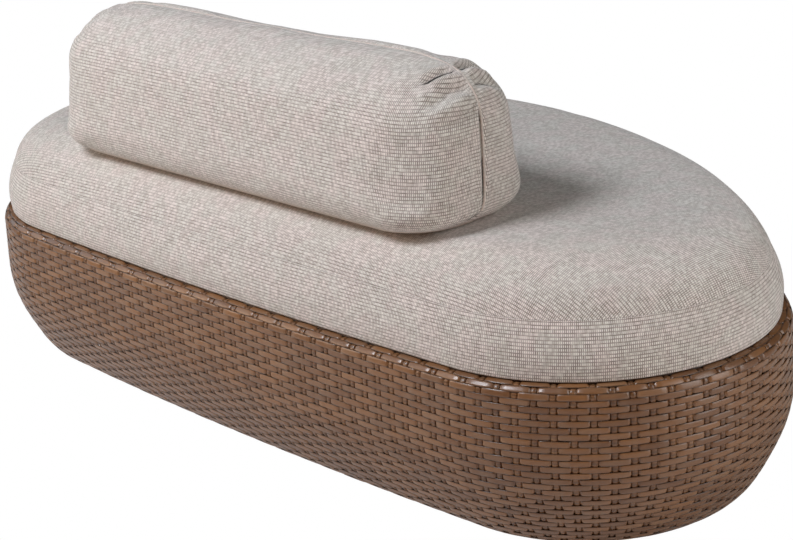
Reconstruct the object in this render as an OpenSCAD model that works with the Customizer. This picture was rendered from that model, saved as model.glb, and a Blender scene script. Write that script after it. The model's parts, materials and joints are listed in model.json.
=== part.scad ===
// Woven oval sofa: a tub of woven strands on a tube frame, a loose seat cushion and a loose backrest bolster.
// X runs along the sofa, Y from its back side to its bowed front, Z up from the floor.
// Every ring follows one plan of four tangent arcs. Sections are drawn as [offset from the rim line, height].

/* [Plan] */
// Half the length of the rim line
half_len = 780; // [680:5:900]
// Radius of the two rounded ends of the rim line
end_r = 293; // [270:1:310]
// How much deeper the bowed front is than the ends, from the line between their centres
front_bow = 200; // [150:1:260]
// How much deeper the nearly straight back is than the ends
back_bow = 14; // [11:1:40]

/* [Woven wall] */
// Height of the rim above the floor
rim_z = 290; // [260:1:330]
// Height where the wall bulges most
belly_z = 190; // [185:1:215]
// How far the bulge stands out past the rim line
belly_out = 10; // [4:1:16]
// How far the wall stands out past the rim line at its top
wall_top_out = 7; // [3:1:10]
// Radius of the wall where it turns in under the sofa
turn_r = 192; // [185:1:196]
// How far round the turn the wall reaches, in degrees
turn_angle = 72; // [68:1:73]
// Distance from one row of strands to the next
strand_pitch = 9.9; // [8:0.1:13]
// Number of upright stakes the strands pass round
stake_count = 144; // [96:4:148]
// How far a strand stands out where it passes over a stake
strand_relief = 2.4; // [1:0.1:3]
// Thickness of the wall where a strand passes behind a stake
wall_t = 2.4; // [2:0.1:3.5]

/* [Rim border] */
// Thickness of the wrapping on the rail
border_t = 4.5; // [3:0.1:7]
// How far the border reaches down from the rim on the outside
border_drop = 20; // [18:0.5:22]
// How far the wrapped strands stand out of the border
border_relief = 1.2; // [0.4:0.1:1.6]

/* [Frame] */
// Diameter of the top rail tube
rail_d = 28; // [24:1:32]
// Diameter of the foot ring tube
ring_d = 25; // [20:1:28]
// Wall thickness of the rail and ring tubes
tube_t = 2; // [1.2:0.1:3]
// Diameter of the two hoops inside the ribs
hoop_d = 8; // [6:1:10]
// How far round the turn the foot ring sits, in degrees
ring_angle = 78; // [76:0.5:80]
// How far down the turn the lower hoop sits, in degrees
lower_hoop_angle = 38; // [30:1:45]
// Width of a rib
rib_w = 20; // [14:1:26]
// Thickness of a rib
rib_t = 5; // [4:0.5:6]
// Diameter of the cross braces and posts
brace_d = 20; // [16:1:20]
// Distance from the middle brace to each outer brace
brace_pitch = 400; // [340:5:440]

/* [Deck] */
// Width of the flat ledge that carries the slats
ledge_w = 34; // [28:1:44]
// Thickness of the ledge
ledge_t = 4; // [3:0.5:5]
// Number of slats
slat_count = 11; // [7:2:11]
// Width of a slat
slat_w = 60; // [50:1:70]
// Distance from the end of the rim line to the middle of the last slat
slat_end = 190; // [180:1:230]
// Thickness of a slat
slat_t = 18; // [15:1:20]
// Wall of the slat tube
slat_wall = 2; // [1.5:0.1:3]
// Width of the bearer under the slats
bearer_w = 40; // [30:1:50]
// Height of the bearer under the slats
bearer_h = 25; // [20:1:30]
// How far the bearer lies behind the middle of the deck
bearer_back = 20; // [0:1:40]

/* [Glides and screws] */
// Diameter of a glide where it meets the floor
glide_d = 34; // [30:1:40]
// Height of the round foot of a glide
glide_foot_h = 4.5; // [4:0.1:5]
// Width of the bevel round a glide's underside
glide_bevel = 1.5; // [0.5:0.1:3]
// Diameter of a glide where it holds the ring
glide_neck_d = 26; // [24:1:30]
// Shank diameter of the screws
screw_d = 4; // [3:0.1:5]
// Head diameter of the screws
screw_head_d = 8; // [7:0.1:10]
// Height of a screw head
screw_head_h = 2.6; // [2:0.1:3.5]
// How far the head of a glide screw is sunk above the floor
screw_sink = 2; // [1:0.1:3]
// How far the screws reach past the wall that they hold in
screw_reach = 2; // [1:0.5:5]

/* [Seat cushion] */
// Height of the seat cushion
seat_h = 147; // [120:1:180]
// Height of the seam under the top panel, above the cushion's bottom
seat_seam_h = 84; // [70:1:100]
// How far in from the rim line the top panel becomes flat
seat_flat_in = 116; // [100:1:150]
// Radius of the top panel's crown
seat_crown_r = 108; // [90:1:125]
// How far the upper seam is pulled in below the crown
seat_seam_pull = 4; // [1:0.5:8]
// How far in from the rim line the lower seam lies
seat_foot_in = 18; // [12:1:30]
// How far the side band swells out between its seams
seat_bulge = 11; // [4:1:14]
// Height of the rounded lower edge
seat_foot_h = 12; // [8:1:20]
// Thickness of the cushion fabric with its lining
cover_t = 2.5; // [1.5:0.1:4]
// Play between a foam core and its cover
foam_play = 1.3; // [1.2:0.1:4]
// Length of the seat's zip
zip_len = 620; // [400:10:700]
// How far the seat's zip lies behind the front of the rim line
zip_in = 110; // [80:1:160]
// Width of a zip's tape
zip_w = 20; // [14:1:26]
// Thickness of a zip's tape
zip_t = 1.2; // [0.8:0.1:1.4]
// Diameter of a zip's coil
coil_d = 2; // [1.6:0.1:2.4]
// How much of the tape the coil leaves free at each end
coil_end = 15; // [5:1:30]

/* [Bolster] */
// Half the length of the bolster at its foot
bolster_half_len = 447; // [380:1:480]
// Half the depth of the bolster at its foot
bolster_half_foot = 131; // [120:1:140]
// Half the depth of the bolster at its top, before its edges are rounded
bolster_half_top = 99; // [92:1:112]
// Height of the bolster
bolster_h = 227; // [190:1:260]
// How far each end leans in from foot to top
bolster_end_lean = 10; // [0:1:20]
// How far the top seam moves towards the sitter in its middle
bolster_seam_shift = 16; // [0:1:19]
// Radius of the bolster's upright corners
bolster_corner_r = 79; // [60:1:85]
// Radius of the bolster's upper edges
bolster_top_r = 77; // [60:1:82]
// Radius of the bolster's lower edges
bolster_foot_r = 41; // [20:1:50]
// How far the bolster's middle lies left of the sofa's middle
bolster_left = 16; // [0:1:60]
// How far the bolster's middle lies behind the line between the end centres
bolster_back = 136; // [120:1:150]
// Length of the weighted board in the bolster
board_len = 640; // [500:10:700]
// Depth of the weighted board
board_depth = 130; // [90:1:150]
// Thickness of the weighted board
board_t = 10; // [6:1:16]
// Radius of the board's corners
board_corner_r = 30; // [10:1:40]

/* [Clearances] */
// Gap between pieces that touch along a curve
touch_gap = 0.3; // [0.2:0.05:0.6]
// Gap in a bent tube where its lengths are butted for welding
weld_gap = 0.2; // [0.1:0.05:0.4]
// Gap between a cushion and what it rests on
rest_gap = 0.3; // [0.2:0.05:0.5]
// Gap between the weave's lower edge and the strand laid round it
lap_gap = 0.5; // [0.4:0.05:0.8]
// Gap where two sewn panels meet
seam_slit = 0.4; // [0.3:0.05:0.8]
// Gap between a slat's end and the border
slat_gap = 2; // [1:0.5:6]
// Play of a screw in its hole, on the diameter
screw_play = 0.4; // [0.2:0.1:0.8]

/* [Hidden] */
sweep_fn = 180;
tube_fn = 48;
small_fn = 32;

// The glides stand clear of the three braces, with two ribs between each two of them
glide_count = 6;
rib_count = 2 * glide_count;

// Plan of four tangent arcs
end_x = half_len - end_r;
front_depth = end_r + front_bow;
back_depth = end_r + back_bow;
front_r = (end_x * end_x + front_depth * front_depth - end_r * end_r) / (2 * front_bow);
front_k = front_r - front_depth;
back_r = (end_x * end_x + back_depth * back_depth - end_r * end_r) / (2 * back_bow);
back_k = back_r - back_depth;
front_turn = atan2(front_k, end_x);
back_turn = atan2(back_k, end_x);
plan_y = (back_depth - front_depth) / 2;
end_run = end_r * (front_turn + back_turn) * PI / 180;
front_run = front_r * (180 - 2 * front_turn) * PI / 180;
back_run = back_r * (180 - 2 * back_turn) * PI / 180;
plan_run = 2 * end_run + front_run + back_run;
front_middle = end_run + front_run / 2;

// Wall section
turn_x = belly_out - turn_r;
wall_in = wall_t + strand_relief;
wall_slope = (belly_out - wall_top_out) / (rim_z - belly_z);
wall_top_z = rim_z - border_drop;
wall_run = wall_top_z - belly_z + turn_r * turn_angle * PI / 180;
row_count = round(wall_run / strand_pitch);
skin_steps = 11;
skin_slack = 0.4;
lap_angle = turn_angle + (wall_in / 2 + lap_gap) / turn_r * 180 / PI;

// Frame section
rail_z = rim_z - border_t - rail_d / 2;
rail_off = wall_out_at(rail_z) - wall_in - touch_gap - rail_d / 2;
ring_turn = turn_r - wall_in - touch_gap - ring_d / 2;
ring_off = turn_x + ring_turn * cos(ring_angle);
ring_z = belly_z - ring_turn * sin(ring_angle);
rib_out = wall_in + touch_gap;
rib_top_z = rail_z - rail_d / 4;
rib_angle = ring_angle - asin(ring_d / 4 / ring_turn);
hoop_turn = turn_r - rib_out - rib_t - hoop_d / 2 - touch_gap;

// Deck section
slat_z = rim_z - slat_t;
slat_pitch = 2 * (half_len - slat_end) / (slat_count - 1);
ledge_off = rail_off - rail_d / 2 - touch_gap;
ledge_joint_x = slat_count % 2 * slat_pitch / 2;
ledge_joints = [
    end_r * back_turn * PI / 180,
    end_run + (90 - asin(ledge_joint_x / (front_r + ledge_off)) - front_turn) * front_r * PI / 180,
    end_run + front_run + end_r * front_turn * PI / 180,
    plan_run - (90 - back_turn - asin(ledge_joint_x / (back_r + ledge_off))) * back_r * PI / 180,
    plan_run + end_r * back_turn * PI / 180
];
ledge_z = slat_z - ledge_t;
border_in = rail_off - rail_d / 2 - border_t;
slat_end_off = border_in - slat_gap;
bearer_y = plan_y + (front_depth - back_depth) / 2 - bearer_back;
screw_in = ledge_w / 2 + rail_d / 4;

// Seat cushion section
seat_z = rim_z + rest_gap;
seat_top_z = seat_z + seat_h;
seat_seam_z = seat_z + seat_seam_h;
seat_crown_z = seat_top_z - seat_crown_r;
seat_crown_from = asin((seat_seam_z - seat_crown_z) / seat_crown_r);
seat_seam_off = seat_crown_r * cos(seat_crown_from) - seat_flat_in - seat_seam_pull;
seat_base_off = -seat_foot_in - seat_foot_h;
seat_core = cover_t + foam_play;
band_sag = 0.8;
zip_y = plan_y + front_depth - zip_in;

// Bolster section
bolster_z = seat_top_z + rest_gap;
bolster_y = plan_y - bolster_back;
seam_reach = 0.985;
seam_turn = 0.97;
bolster_core = cover_t + zip_t + coil_d + foam_play;
bolster_under = cover_t + board_t + 2 * touch_gap;

// Where a run s along the rim line lies: [centre x, centre y, radius, angle]
function plan_at(s) =
    let (t = s - plan_run * floor(s / plan_run))
    t < end_run ? [end_x, plan_y, end_r, t / end_r * 180 / PI - back_turn] :
    t < end_run + front_run ? [0, plan_y - front_k, front_r, front_turn + (t - end_run) / front_r * 180 / PI] :
    t < 2 * end_run + front_run ?
        [-end_x, plan_y, end_r, 180 - front_turn + (t - end_run - front_run) / end_r * 180 / PI] :
    [0, plan_y + back_k, back_r, 180 + back_turn + (t - 2 * end_run - front_run) / back_r * 180 / PI];

// Point of the plan at such a place, moved out by off
function plan_point(p, off) = [p[0] + (p[2] + off) * cos(p[3]), p[1] + (p[2] + off) * sin(p[3])];

// Y of the front and of the back edge of the plan at x, moved out by off
function front_y(x, off) =
    abs(x) <= (front_r + off) * cos(front_turn) ?
        plan_y - front_k + sqrt(pow(front_r + off, 2) - x * x) :
        plan_y + sqrt(pow(end_r + off, 2) - pow(abs(x) - end_x, 2));
function back_y(x, off) =
    abs(x) <= (back_r + off) * cos(back_turn) ?
        plan_y + back_k - sqrt(pow(back_r + off, 2) - x * x) :
        plan_y - sqrt(pow(end_r + off, 2) - pow(abs(x) - end_x, 2));

// Offset of the wall's outside at a height above the bulge
function wall_out_at(z) = belly_out - wall_slope * (z - belly_z);

// Point of the wall section a given depth under its outside, at a run down from its top
function wall_point(run, depth) =
    run < wall_top_z - belly_z ?
        [wall_out_at(wall_top_z - run) - depth, wall_top_z - run] :
        let (a = (run - wall_top_z + belly_z) / turn_r * 180 / PI)
        [turn_x + (turn_r - depth) * cos(a), belly_z - (turn_r - depth) * sin(a)];

// Carries a section of [offset, height] round the plan in four arcs, with a gap where they are butted
module round_plan(gap = 0) {
    for (arc = [
        [end_x, plan_y, end_r, -back_turn, front_turn],
        [0, plan_y - front_k, front_r, front_turn, 180 - front_turn],
        [-end_x, plan_y, end_r, 180 - front_turn, 180 + back_turn],
        [0, plan_y + back_k, back_r, 180 + back_turn, 360 - back_turn]
    ]) {
        trim = gap / 2 / arc[2] * 180 / PI;
        translate([arc[0], arc[1], 0])
            rotate([0, 0, arc[3] + trim])
                rotate_extrude(angle = arc[4] - arc[3] - 2 * trim, $fn = sweep_fn)
                    translate([arc[2], 0]) children();
    }
}

// Outline of the plan, moved out by off
function plan_outline(off) = [
    for (i = [0 : stake_count - 1]) plan_point(plan_at(i / stake_count * plan_run), off)
];

// Places a piece at a run along the plan, with X outwards and Y along the rim
module at_plan(s) {
    p = plan_at(s);
    translate([plan_point(p, 0)[0], plan_point(p, 0)[1], 0]) rotate([0, 0, p[3]]) children();
}

// Whole turn of a tube at the arc that holds the run s, used to cut what seats on a ring
module arc_torus(s, off, z, d) {
    p = plan_at(s);
    translate([p[0], p[1], z])
        rotate_extrude($fn = sweep_fn) translate([p[2] + off, 0]) circle(d = d, $fn = tube_fn);
}

// Section of a bent tube
module tube_section(off, z, d, t) {
    translate([off, z])
        difference() {
            circle(d = d, $fn = tube_fn);
            circle(d = d - 2 * t, $fn = tube_fn);
        }
}

// Section between two depths under the wall's outside, from a height down to an angle round the turn
module wall_band(depth_out, depth_in, top, angle) {
    steps = 20;
    turn = [for (i = [0 : steps]) angle * i / steps];
    polygon(concat(
        [[wall_out_at(top) - depth_out, top]],
        [for (a = turn) [turn_x + (turn_r - depth_out) * cos(a), belly_z - (turn_r - depth_out) * sin(a)]],
        [for (a = turn) let (b = angle - a)
            [turn_x + (turn_r - depth_in) * cos(b), belly_z - (turn_r - depth_in) * sin(b)]],
        [[wall_out_at(top) - depth_in, top]]
    ));
}

// Closed form through rings of points, each with as many points, with flat ends
module loft(rings) {
    n = len(rings[0]);
    last = len(rings) - 1;
    sides = [
        for (k = [0 : last - 1], i = [0 : n - 1])
            let (j = (i + 1) % n)
            each [[k * n + i, (k + 1) * n + j, (k + 1) * n + i], [k * n + i, k * n + j, (k + 1) * n + j]]
    ];
    ends = [[for (i = [n - 1 : -1 : 0]) i], [for (i = [0 : n - 1]) last * n + i]];
    polyhedron([for (ring = rings) each ring], concat(sides, ends));
}

// Closed band through rings of points, the last of which joins the first
module loft_band(rings) {
    n = len(rings[0]);
    m = len(rings);
    faces = [
        for (k = [0 : m - 1], i = [0 : n - 1])
            let (j = (i + 1) % n, l = (k + 1) % m)
            each [[k * n + i, l * n + j, l * n + i], [k * n + i, k * n + j, l * n + j]]
    ];
    polyhedron([for (ring = rings) each ring], faces);
}

// Closed sheet between an outer and an inner grid of points, each with as many rows and points
module sheet(outer, inner) {
    n = len(outer[0]);
    m = len(outer);
    c = n * m;
    skins = [
        for (k = [0 : m - 2], i = [0 : n - 2])
            let (a = k * n + i, b = a + 1, d = a + n, e = d + 1)
            each [[a, e, d], [a, b, e], [c + a, c + d, c + e], [c + a, c + e, c + b]]
    ];
    ends = [
        for (i = [0 : n - 2])
            let (a = i, b = i + 1, d = (m - 1) * n + i, e = d + 1)
            each [[a, c + b, b], [a, c + a, c + b], [d, e, c + e], [d, c + e, c + d]]
    ];
    sides = [
        for (k = [0 : m - 2])
            let (a = k * n, d = a + n, b = a + n - 1, e = b + n)
            each [[a, d, c + d], [a, c + d, c + a], [b, c + e, e], [b, c + b, c + e]]
    ];
    polyhedron(concat([for (row = outer) each row], [for (row = inner) each row]), concat(skins, ends, sides));
}

// Outside of the weave at a stake and a row: out over every second stake, and back on the next row
function weave_point(stake, row) =
    let (
        p = plan_at(stake / stake_count * plan_run),
        w = wall_point(row / row_count * wall_run, (stake + row) % 2 == 0 ? 0 : strand_relief),
        q = plan_point(p, w[0])
    )
    [q[0], q[1], w[1]];

// Inside of the weave, set out by the rise of the chord between two of its points
function skin_point(stake, step) =
    let (
        p = plan_at(stake / stake_count * plan_run),
        straight = wall_top_z - belly_z,
        run = step == 0 ? 0 : straight + (step - 1) / (skin_steps - 1) * (wall_run - straight),
        chord = 2 * plan_run / stake_count,
        w = wall_point(run, wall_in - skin_slack - chord * chord / 8 / p[2]),
        q = plan_point(p, w[0])
    )
    [q[0], q[1], w[1]];

// Woven wall: rows of strands passing before and behind the stakes, bulging and turning in under the sofa
module woven_wall() {
    n = stake_count;
    rows = row_count;
    half = n / 2;
    base = n * (rows + 1);
    last = base + half * skin_steps;
    outer = [
        for (k = [0 : rows - 1], i = [0 : n - 1])
            let (j = (i + 1) % n, a = k * n + i, b = k * n + j, d = a + n, e = b + n)
            each (i + k) % 2 == 0 ? [[a, e, d], [a, b, e]] : [[a, b, d], [b, e, d]]
    ];
    inner = [
        for (k = [0 : skin_steps - 1], i = [0 : half - 1])
            let (first = base + k * half, a = first + i, b = first + (i + 1) % half, d = a + half, e = b + half)
            each [[a, d, e], [a, e, b]]
    ];
    edges = [
        for (i = [0 : half - 1])
            let (
                a = 2 * i, m = a + 1, b = (a + 2) % n,
                c = base + i, d = base + (i + 1) % half,
                f = rows * n, g = last + i, h = last + (i + 1) % half
            )
            each [
                [a, c, m], [c, d, m], [m, d, b],
                [f + a, f + m, g], [g, f + m, h], [f + m, f + b, h]
            ]
    ];
    color("#8a6a52")
        polyhedron(
            concat(
                [for (k = [0 : rows], i = [0 : n - 1]) weave_point(i, k)],
                [for (k = [0 : skin_steps], i = [0 : half - 1]) skin_point(2 * i, k)]
            ),
            concat(outer, inner, edges)
        );
}

// Ring of the border at an angle round the rail; its strands lean, so each lies over the start of the next
function border_ring(angle, r, relief, lean) = [
    for (i = [0 : stake_count - 1])
        let (
            d = r - relief * (1 + cos(180 * i + lean)) / 2,
            q = plan_point(plan_at(i / stake_count * plan_run), rail_off + d * cos(angle))
        )
        [q[0], q[1], rail_z + d * sin(angle)]
];

// Wrapped border: strands folded over the rail from the weave, across the rim and down inside it
module rim_border() {
    steps = 4;
    first = -asin((rail_z - wall_top_z - 0.5) / (rail_d / 2 + border_t));
    reach = 180 - first - 5;
    inner_r = (rail_d / 2 + touch_gap) / cos(reach / steps / 2) + 0.1;
    color("#9b7659")
        loft_band(concat(
            [for (k = [0 : steps]) border_ring(first + reach * k / steps, inner_r, 0, 0)],
            [
                for (k = [steps : -1 : 0])
                    border_ring(first + reach * k / steps, rail_d / 2 + border_t, border_relief, 45 * k)
            ]
        ));
}

// Lower edge of the weave, a strand laid round the foot
module foot_lap() {
    lap_r = turn_r - wall_in / 2;
    color("#7a5c46")
        round_plan(weld_gap)
            translate([turn_x + lap_r * cos(lap_angle), belly_z - lap_r * sin(lap_angle)])
                circle(d = wall_in, $fn = small_fn);
}

// Bent tube under the rim
module top_rail() {
    color("#8c8f92") round_plan(weld_gap) tube_section(rail_off, rail_z, rail_d, tube_t);
}

// Bent tube at the foot, drilled for the glide screws
module foot_ring() {
    color("#8c8f92")
        difference() {
            round_plan(weld_gap) tube_section(ring_off, ring_z, ring_d, tube_t);
            for (i = [1 : glide_count])
                at_plan(glide_run(i))
                    translate([ring_off, 0, ring_z - ring_d])
                        cylinder(d = screw_d + screw_play, h = ring_d, $fn = small_fn);
        }
}

// Rod inside the ribs, at an angle round the turn
module hoop(angle) {
    color("#8c8f92")
        round_plan(weld_gap)
            translate([turn_x + hoop_turn * cos(angle), belly_z - hoop_turn * sin(angle)])
                circle(d = hoop_d, $fn = small_fn);
}

// Rod where the wall bulges most
module belly_hoop() {
    hoop(0);
}

// Rod where the wall turns in
module lower_hoop() {
    hoop(lower_hoop_angle);
}

// Curved flat bar from the foot ring up to the rail
module frame_rib(i) {
    color("#7d8083")
        at_plan(front_middle + (i - 0.5) / rib_count * plan_run)
            rotate([90, 0, 0])
                linear_extrude(rib_w, center = true)
                    difference() {
                        wall_band(rib_out, rib_out + rib_t, rib_top_z, rib_angle);
                        translate([rail_off, rail_z]) circle(d = rail_d + 2 * touch_gap, $fn = tube_fn);
                        translate([ring_off, ring_z]) circle(d = ring_d + 2 * touch_gap, $fn = tube_fn);
                    }
}

// Straight cutter along the foot ring where a brace meets it at x
module ring_cutter(x, front) {
    y = front ? front_y(x, ring_off) : back_y(x, ring_off);
    turn = front ? -asin(x / (front_r + ring_off)) : asin(x / (back_r + ring_off));
    translate([x, y, ring_z])
        rotate([0, 0, turn])
            rotate([0, 90, 0]) cylinder(d = ring_d + 2 * touch_gap, h = 4 * brace_d, center = true, $fn = tube_fn);
}

// Tube across the foot ring, its ends shaped to the ring
module cross_brace(i) {
    x = (i - 2) * brace_pitch;
    y0 = back_y(x, ring_off);
    y1 = front_y(x, ring_off);
    color("#7d8083")
        difference() {
            translate([x, y0, ring_z]) rotate([-90, 0, 0]) cylinder(d = brace_d, h = y1 - y0, $fn = tube_fn);
            translate([x, y0 - 1, ring_z])
                rotate([-90, 0, 0]) cylinder(d = brace_d - 2 * tube_t, h = y1 - y0 + 2, $fn = tube_fn);
            ring_cutter(x, false);
            ring_cutter(x, true);
        }
}

// Post from a brace up to the bearer
module bearer_post(i) {
    x = (i - 2) * brace_pitch;
    color("#7d8083")
        difference() {
            translate([x, bearer_y, ring_z]) cylinder(d = brace_d, h = slat_z - bearer_h - ring_z, $fn = tube_fn);
            translate([x, bearer_y, ring_z - 1])
                cylinder(d = brace_d - 2 * tube_t, h = slat_z - bearer_h - ring_z + 2, $fn = tube_fn);
            translate([x, bearer_y - brace_d, ring_z])
                rotate([-90, 0, 0]) cylinder(d = brace_d + 2 * touch_gap, h = 2 * brace_d, $fn = tube_fn);
        }
}

// Bent flat bar inside the rail that carries slat ends, one of four in a ring
module deck_ledge(i) {
    first = ledge_joints[i - 1] + weld_gap / 2;
    reach = ledge_joints[i] - weld_gap / 2 - first;
    steps = 36;
    color("#7d8083")
        difference() {
            translate([0, 0, ledge_z])
                linear_extrude(ledge_t)
                    polygon(concat(
                        [for (k = [0 : steps]) plan_point(plan_at(first + reach * k / steps), ledge_off)],
                        [
                            for (k = [steps : -1 : 0])
                                plan_point(plan_at(first + reach * k / steps), ledge_off - ledge_w)
                        ]
                    ));
            deck_screw_places() cylinder(d = screw_d + screw_play, h = 4 * ledge_t, center = true, $fn = small_fn);
        }
}

// Box tube along the middle, under the slats
module deck_bearer() {
    reach = end_r + ledge_off - ledge_w - touch_gap;
    end = end_x + sqrt(pow(reach, 2) - pow(abs(bearer_y - plan_y) + bearer_w / 2, 2));
    color("#7d8083")
        translate([-end, bearer_y - bearer_w / 2, slat_z - bearer_h])
            difference() {
                cube([2 * end, bearer_w, bearer_h]);
                translate([-1, tube_t, tube_t])
                    cube([2 * end + 2, bearer_w - 2 * tube_t, bearer_h - 2 * tube_t]);
            }
}

// Box tube across the deck, cut square where its outer corner meets the border
module deck_slat(i) {
    x = (i - (slat_count + 1) / 2) * slat_pitch;
    corner = abs(x) + slat_w / 2;
    y0 = back_y(corner, slat_end_off);
    y1 = front_y(corner, slat_end_off);
    color("#a9abad")
        difference() {
            translate([x - slat_w / 2, y0, slat_z]) cube([slat_w, y1 - y0, slat_t]);
            translate([x - slat_w / 2 + slat_wall, y0 - 1, slat_z + slat_wall])
                cube([slat_w - 2 * slat_wall, y1 - y0 + 2, slat_t - 2 * slat_wall]);
            deck_screw_places() cylinder(d = screw_d + screw_play, h = 3 * slat_wall, center = true, $fn = small_fn);
        }
}

// Places of the slat screws, at the underside of the slats
module deck_screw_places() {
    for (i = [1 : slat_count], back = [0, 1]) {
        x = (i - (slat_count + 1) / 2) * slat_pitch;
        off = ledge_off - screw_in;
        y = back == 1 ? back_y(x, off) : front_y(x, off);
        translate([x, y, slat_z]) children();
    }
}

// Screws driven up through the ledge into the slats
module deck_screws() {
    color("#c5c7c9")
        deck_screw_places() {
            translate([0, 0, -ledge_t - screw_head_h]) cylinder(d = screw_head_d, h = screw_head_h, $fn = small_fn);
            translate([0, 0, -ledge_t - screw_head_h / 2])
                cylinder(d = screw_d, h = ledge_t + slat_wall + screw_reach + screw_head_h / 2, $fn = small_fn);
        }
}

function glide_run(i) = front_middle + (i - 0.5) / glide_count * plan_run;

// Plastic glide, saddled on the foot ring and bored for its screw
module glide(i) {
    p = plan_at(glide_run(i));
    c = plan_point(p, ring_off);
    color("#2b2b2d")
        difference() {
            translate([c[0], c[1], 0]) {
                cylinder(d1 = glide_d - 2 * glide_bevel, d2 = glide_d, h = glide_bevel, $fn = tube_fn);
                translate([0, 0, glide_bevel]) cylinder(d = glide_d, h = glide_foot_h - glide_bevel, $fn = tube_fn);
                translate([0, 0, glide_foot_h])
                    cylinder(d = glide_neck_d, h = ring_z - ring_d / 4 - glide_foot_h, $fn = tube_fn);
            }
            arc_torus(glide_run(i), ring_off, ring_z, ring_d + 2 * touch_gap);
            translate([c[0], c[1], -1]) cylinder(d = screw_d + screw_play, h = ring_z, $fn = small_fn);
            translate([c[0], c[1], -1])
                cylinder(d = screw_head_d + 2 * glide_bevel, h = 1 + screw_sink + screw_head_h, $fn = small_fn);
        }
}

// Screws that hold the glides, their heads sunk above the floor
module glide_screws() {
    color("#c5c7c9")
        for (i = [1 : glide_count]) {
            c = plan_point(plan_at(glide_run(i)), ring_off);
            shank_z = screw_sink + screw_head_h / 2;
            translate([c[0], c[1], screw_sink]) cylinder(d = screw_head_d, h = screw_head_h, $fn = small_fn);
            translate([c[0], c[1], shank_z])
                cylinder(d = screw_d, h = ring_z - ring_d / 2 + tube_t + screw_reach - shank_z, $fn = small_fn);
        }
}

// Steps round the plan for the sewn pieces: [centre x, centre y, radius, angle]
end_steps = 12;
front_steps = 16;
back_steps = 8;
sewn_steps = concat(
    [for (i = [0 : end_steps - 1]) plan_at(end_run * i / end_steps)],
    [for (i = [0 : front_steps - 1]) plan_at(end_run + front_run * i / front_steps)],
    [for (i = [0 : end_steps - 1]) plan_at(end_run + front_run + end_run * i / end_steps)],
    [for (i = [0 : back_steps - 1]) plan_at(2 * end_run + front_run + back_run * i / back_steps)]
);
function sewn_ring(p, depth = 0) = [for (s = sewn_steps) concat(plan_point(s, p[0] - depth), [p[1]])];
function sewn_outline(off) = [for (s = sewn_steps) plan_point(s, off)];

// Side band of the seat, v from the lower rounding to the upper seam
function band_point(v) = [
    seat_bulge * sin(180 * pow(v, band_sag)) + v * seat_seam_off - (1 - v) * seat_foot_in,
    seat_z + seat_foot_h + v * (seat_seam_h - seam_slit / 2 - seat_foot_h)
];

// Crown of the seat, v from the upper seam to the flat middle, sunk by depth
function crown_point(v, depth = 0) =
    let (a = seat_crown_from + v * (90 - seat_crown_from))
    [
        seat_crown_r * cos(a) - seat_flat_in - seat_seam_pull * pow(1 - v, 3) - depth * cos(90 * v),
        seat_crown_z + seat_crown_r * sin(a) + seam_slit / 2 * (1 - v) - depth * sin(90 * v)
    ];

// Rounded lower edge of the seat, v from the lower seam to the flat underside
function foot_point(v, depth = 0) = [
    -seat_foot_in - depth - (seat_foot_h - depth) * (1 - cos(90 * v)),
    seat_z + seat_foot_h - (seat_foot_h - depth) * sin(90 * v)
];

// Top panel of the seat cover, crowned
module seat_cover_top() {
    color("#d6d0c6")
        loft(concat(
            [for (v = [1 : -0.2 : -0.01]) sewn_ring(crown_point(max(v, 0)))],
            [for (v = [0 : 0.25 : 1]) sewn_ring(crown_point(v, cover_t))]
        ));
}

// Side band of the seat cover, swelling below its upper seam and rounding in to the underside
module seat_cover_band() {
    color("#d9d3c9")
        loft_band(concat(
            [for (v = [1, 0.8, 0.55, 0.3, 0]) sewn_ring(band_point(v))],
            [sewn_ring(foot_point(0.5)), sewn_ring(foot_point(1))],
            [sewn_ring([seat_base_off, seat_z + cover_t])],
            [for (v = [0, 0.5, 1]) sewn_ring(band_point(v), cover_t)]
        ));
}

// Underside panel of the seat cover, with the opening for its zip
module seat_cover_base() {
    color("#b9b3aa")
        translate([0, 0, seat_z])
            linear_extrude(cover_t)
                difference() {
                    polygon(sewn_outline(seat_base_off - touch_gap));
                    translate([-zip_len / 2, zip_y - zip_w / 2]) square([zip_len, zip_w]);
                }
}

// Foam core of the seat, shaped as its cover
module seat_foam() {
    color("#e8e2c8")
        loft(concat(
            [for (v = [1, 0.5, 0]) sewn_ring(crown_point(v, seat_core))],
            [sewn_ring(band_point(0.5), seat_core), sewn_ring(foot_point(1, seat_core))]
        ));
}

// Zip of the seat cover, tape and coil
module seat_zip() {
    play = 2 * touch_gap;
    color("#8b857c") {
        translate([-(zip_len - play) / 2, zip_y - (zip_w - play) / 2, seat_z])
            cube([zip_len - play, zip_w - play, zip_t]);
        translate([-zip_len / 2 + coil_end, zip_y, seat_z + coil_d / 2])
            rotate([0, 90, 0]) cylinder(d = coil_d, h = zip_len - 2 * coil_end, $fn = small_fn);
    }
}

// Half an outline of the bolster at half length a and half depth b, from its right end to its left end
function bolster_half_outline(a, b, r) =
    let (c = min(r, b - 5))
    concat(
        [[a, 0]],
        [for (t = [0 : 15 : 90]) [a - c + c * cos(t), b - c + c * sin(t)]],
        [for (u = [0.5, 0, -0.5]) [u * (a - c), b]],
        [for (t = [90 : 15 : 180]) [c - a + c * cos(t), b - c + c * sin(t)]],
        [[-a, 0]]
    );

// Half a ring of the bolster at a height, drawn in by an inset
function bolster_half_ring(z, inset) = [
    for (p = bolster_half_outline(
        bolster_half_len - bolster_end_lean * z / bolster_h - inset,
        bolster_half_foot - (bolster_half_foot - bolster_half_top) * z / bolster_h - inset,
        bolster_corner_r
    ))
        [p[0], p[1], z]
];

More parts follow.
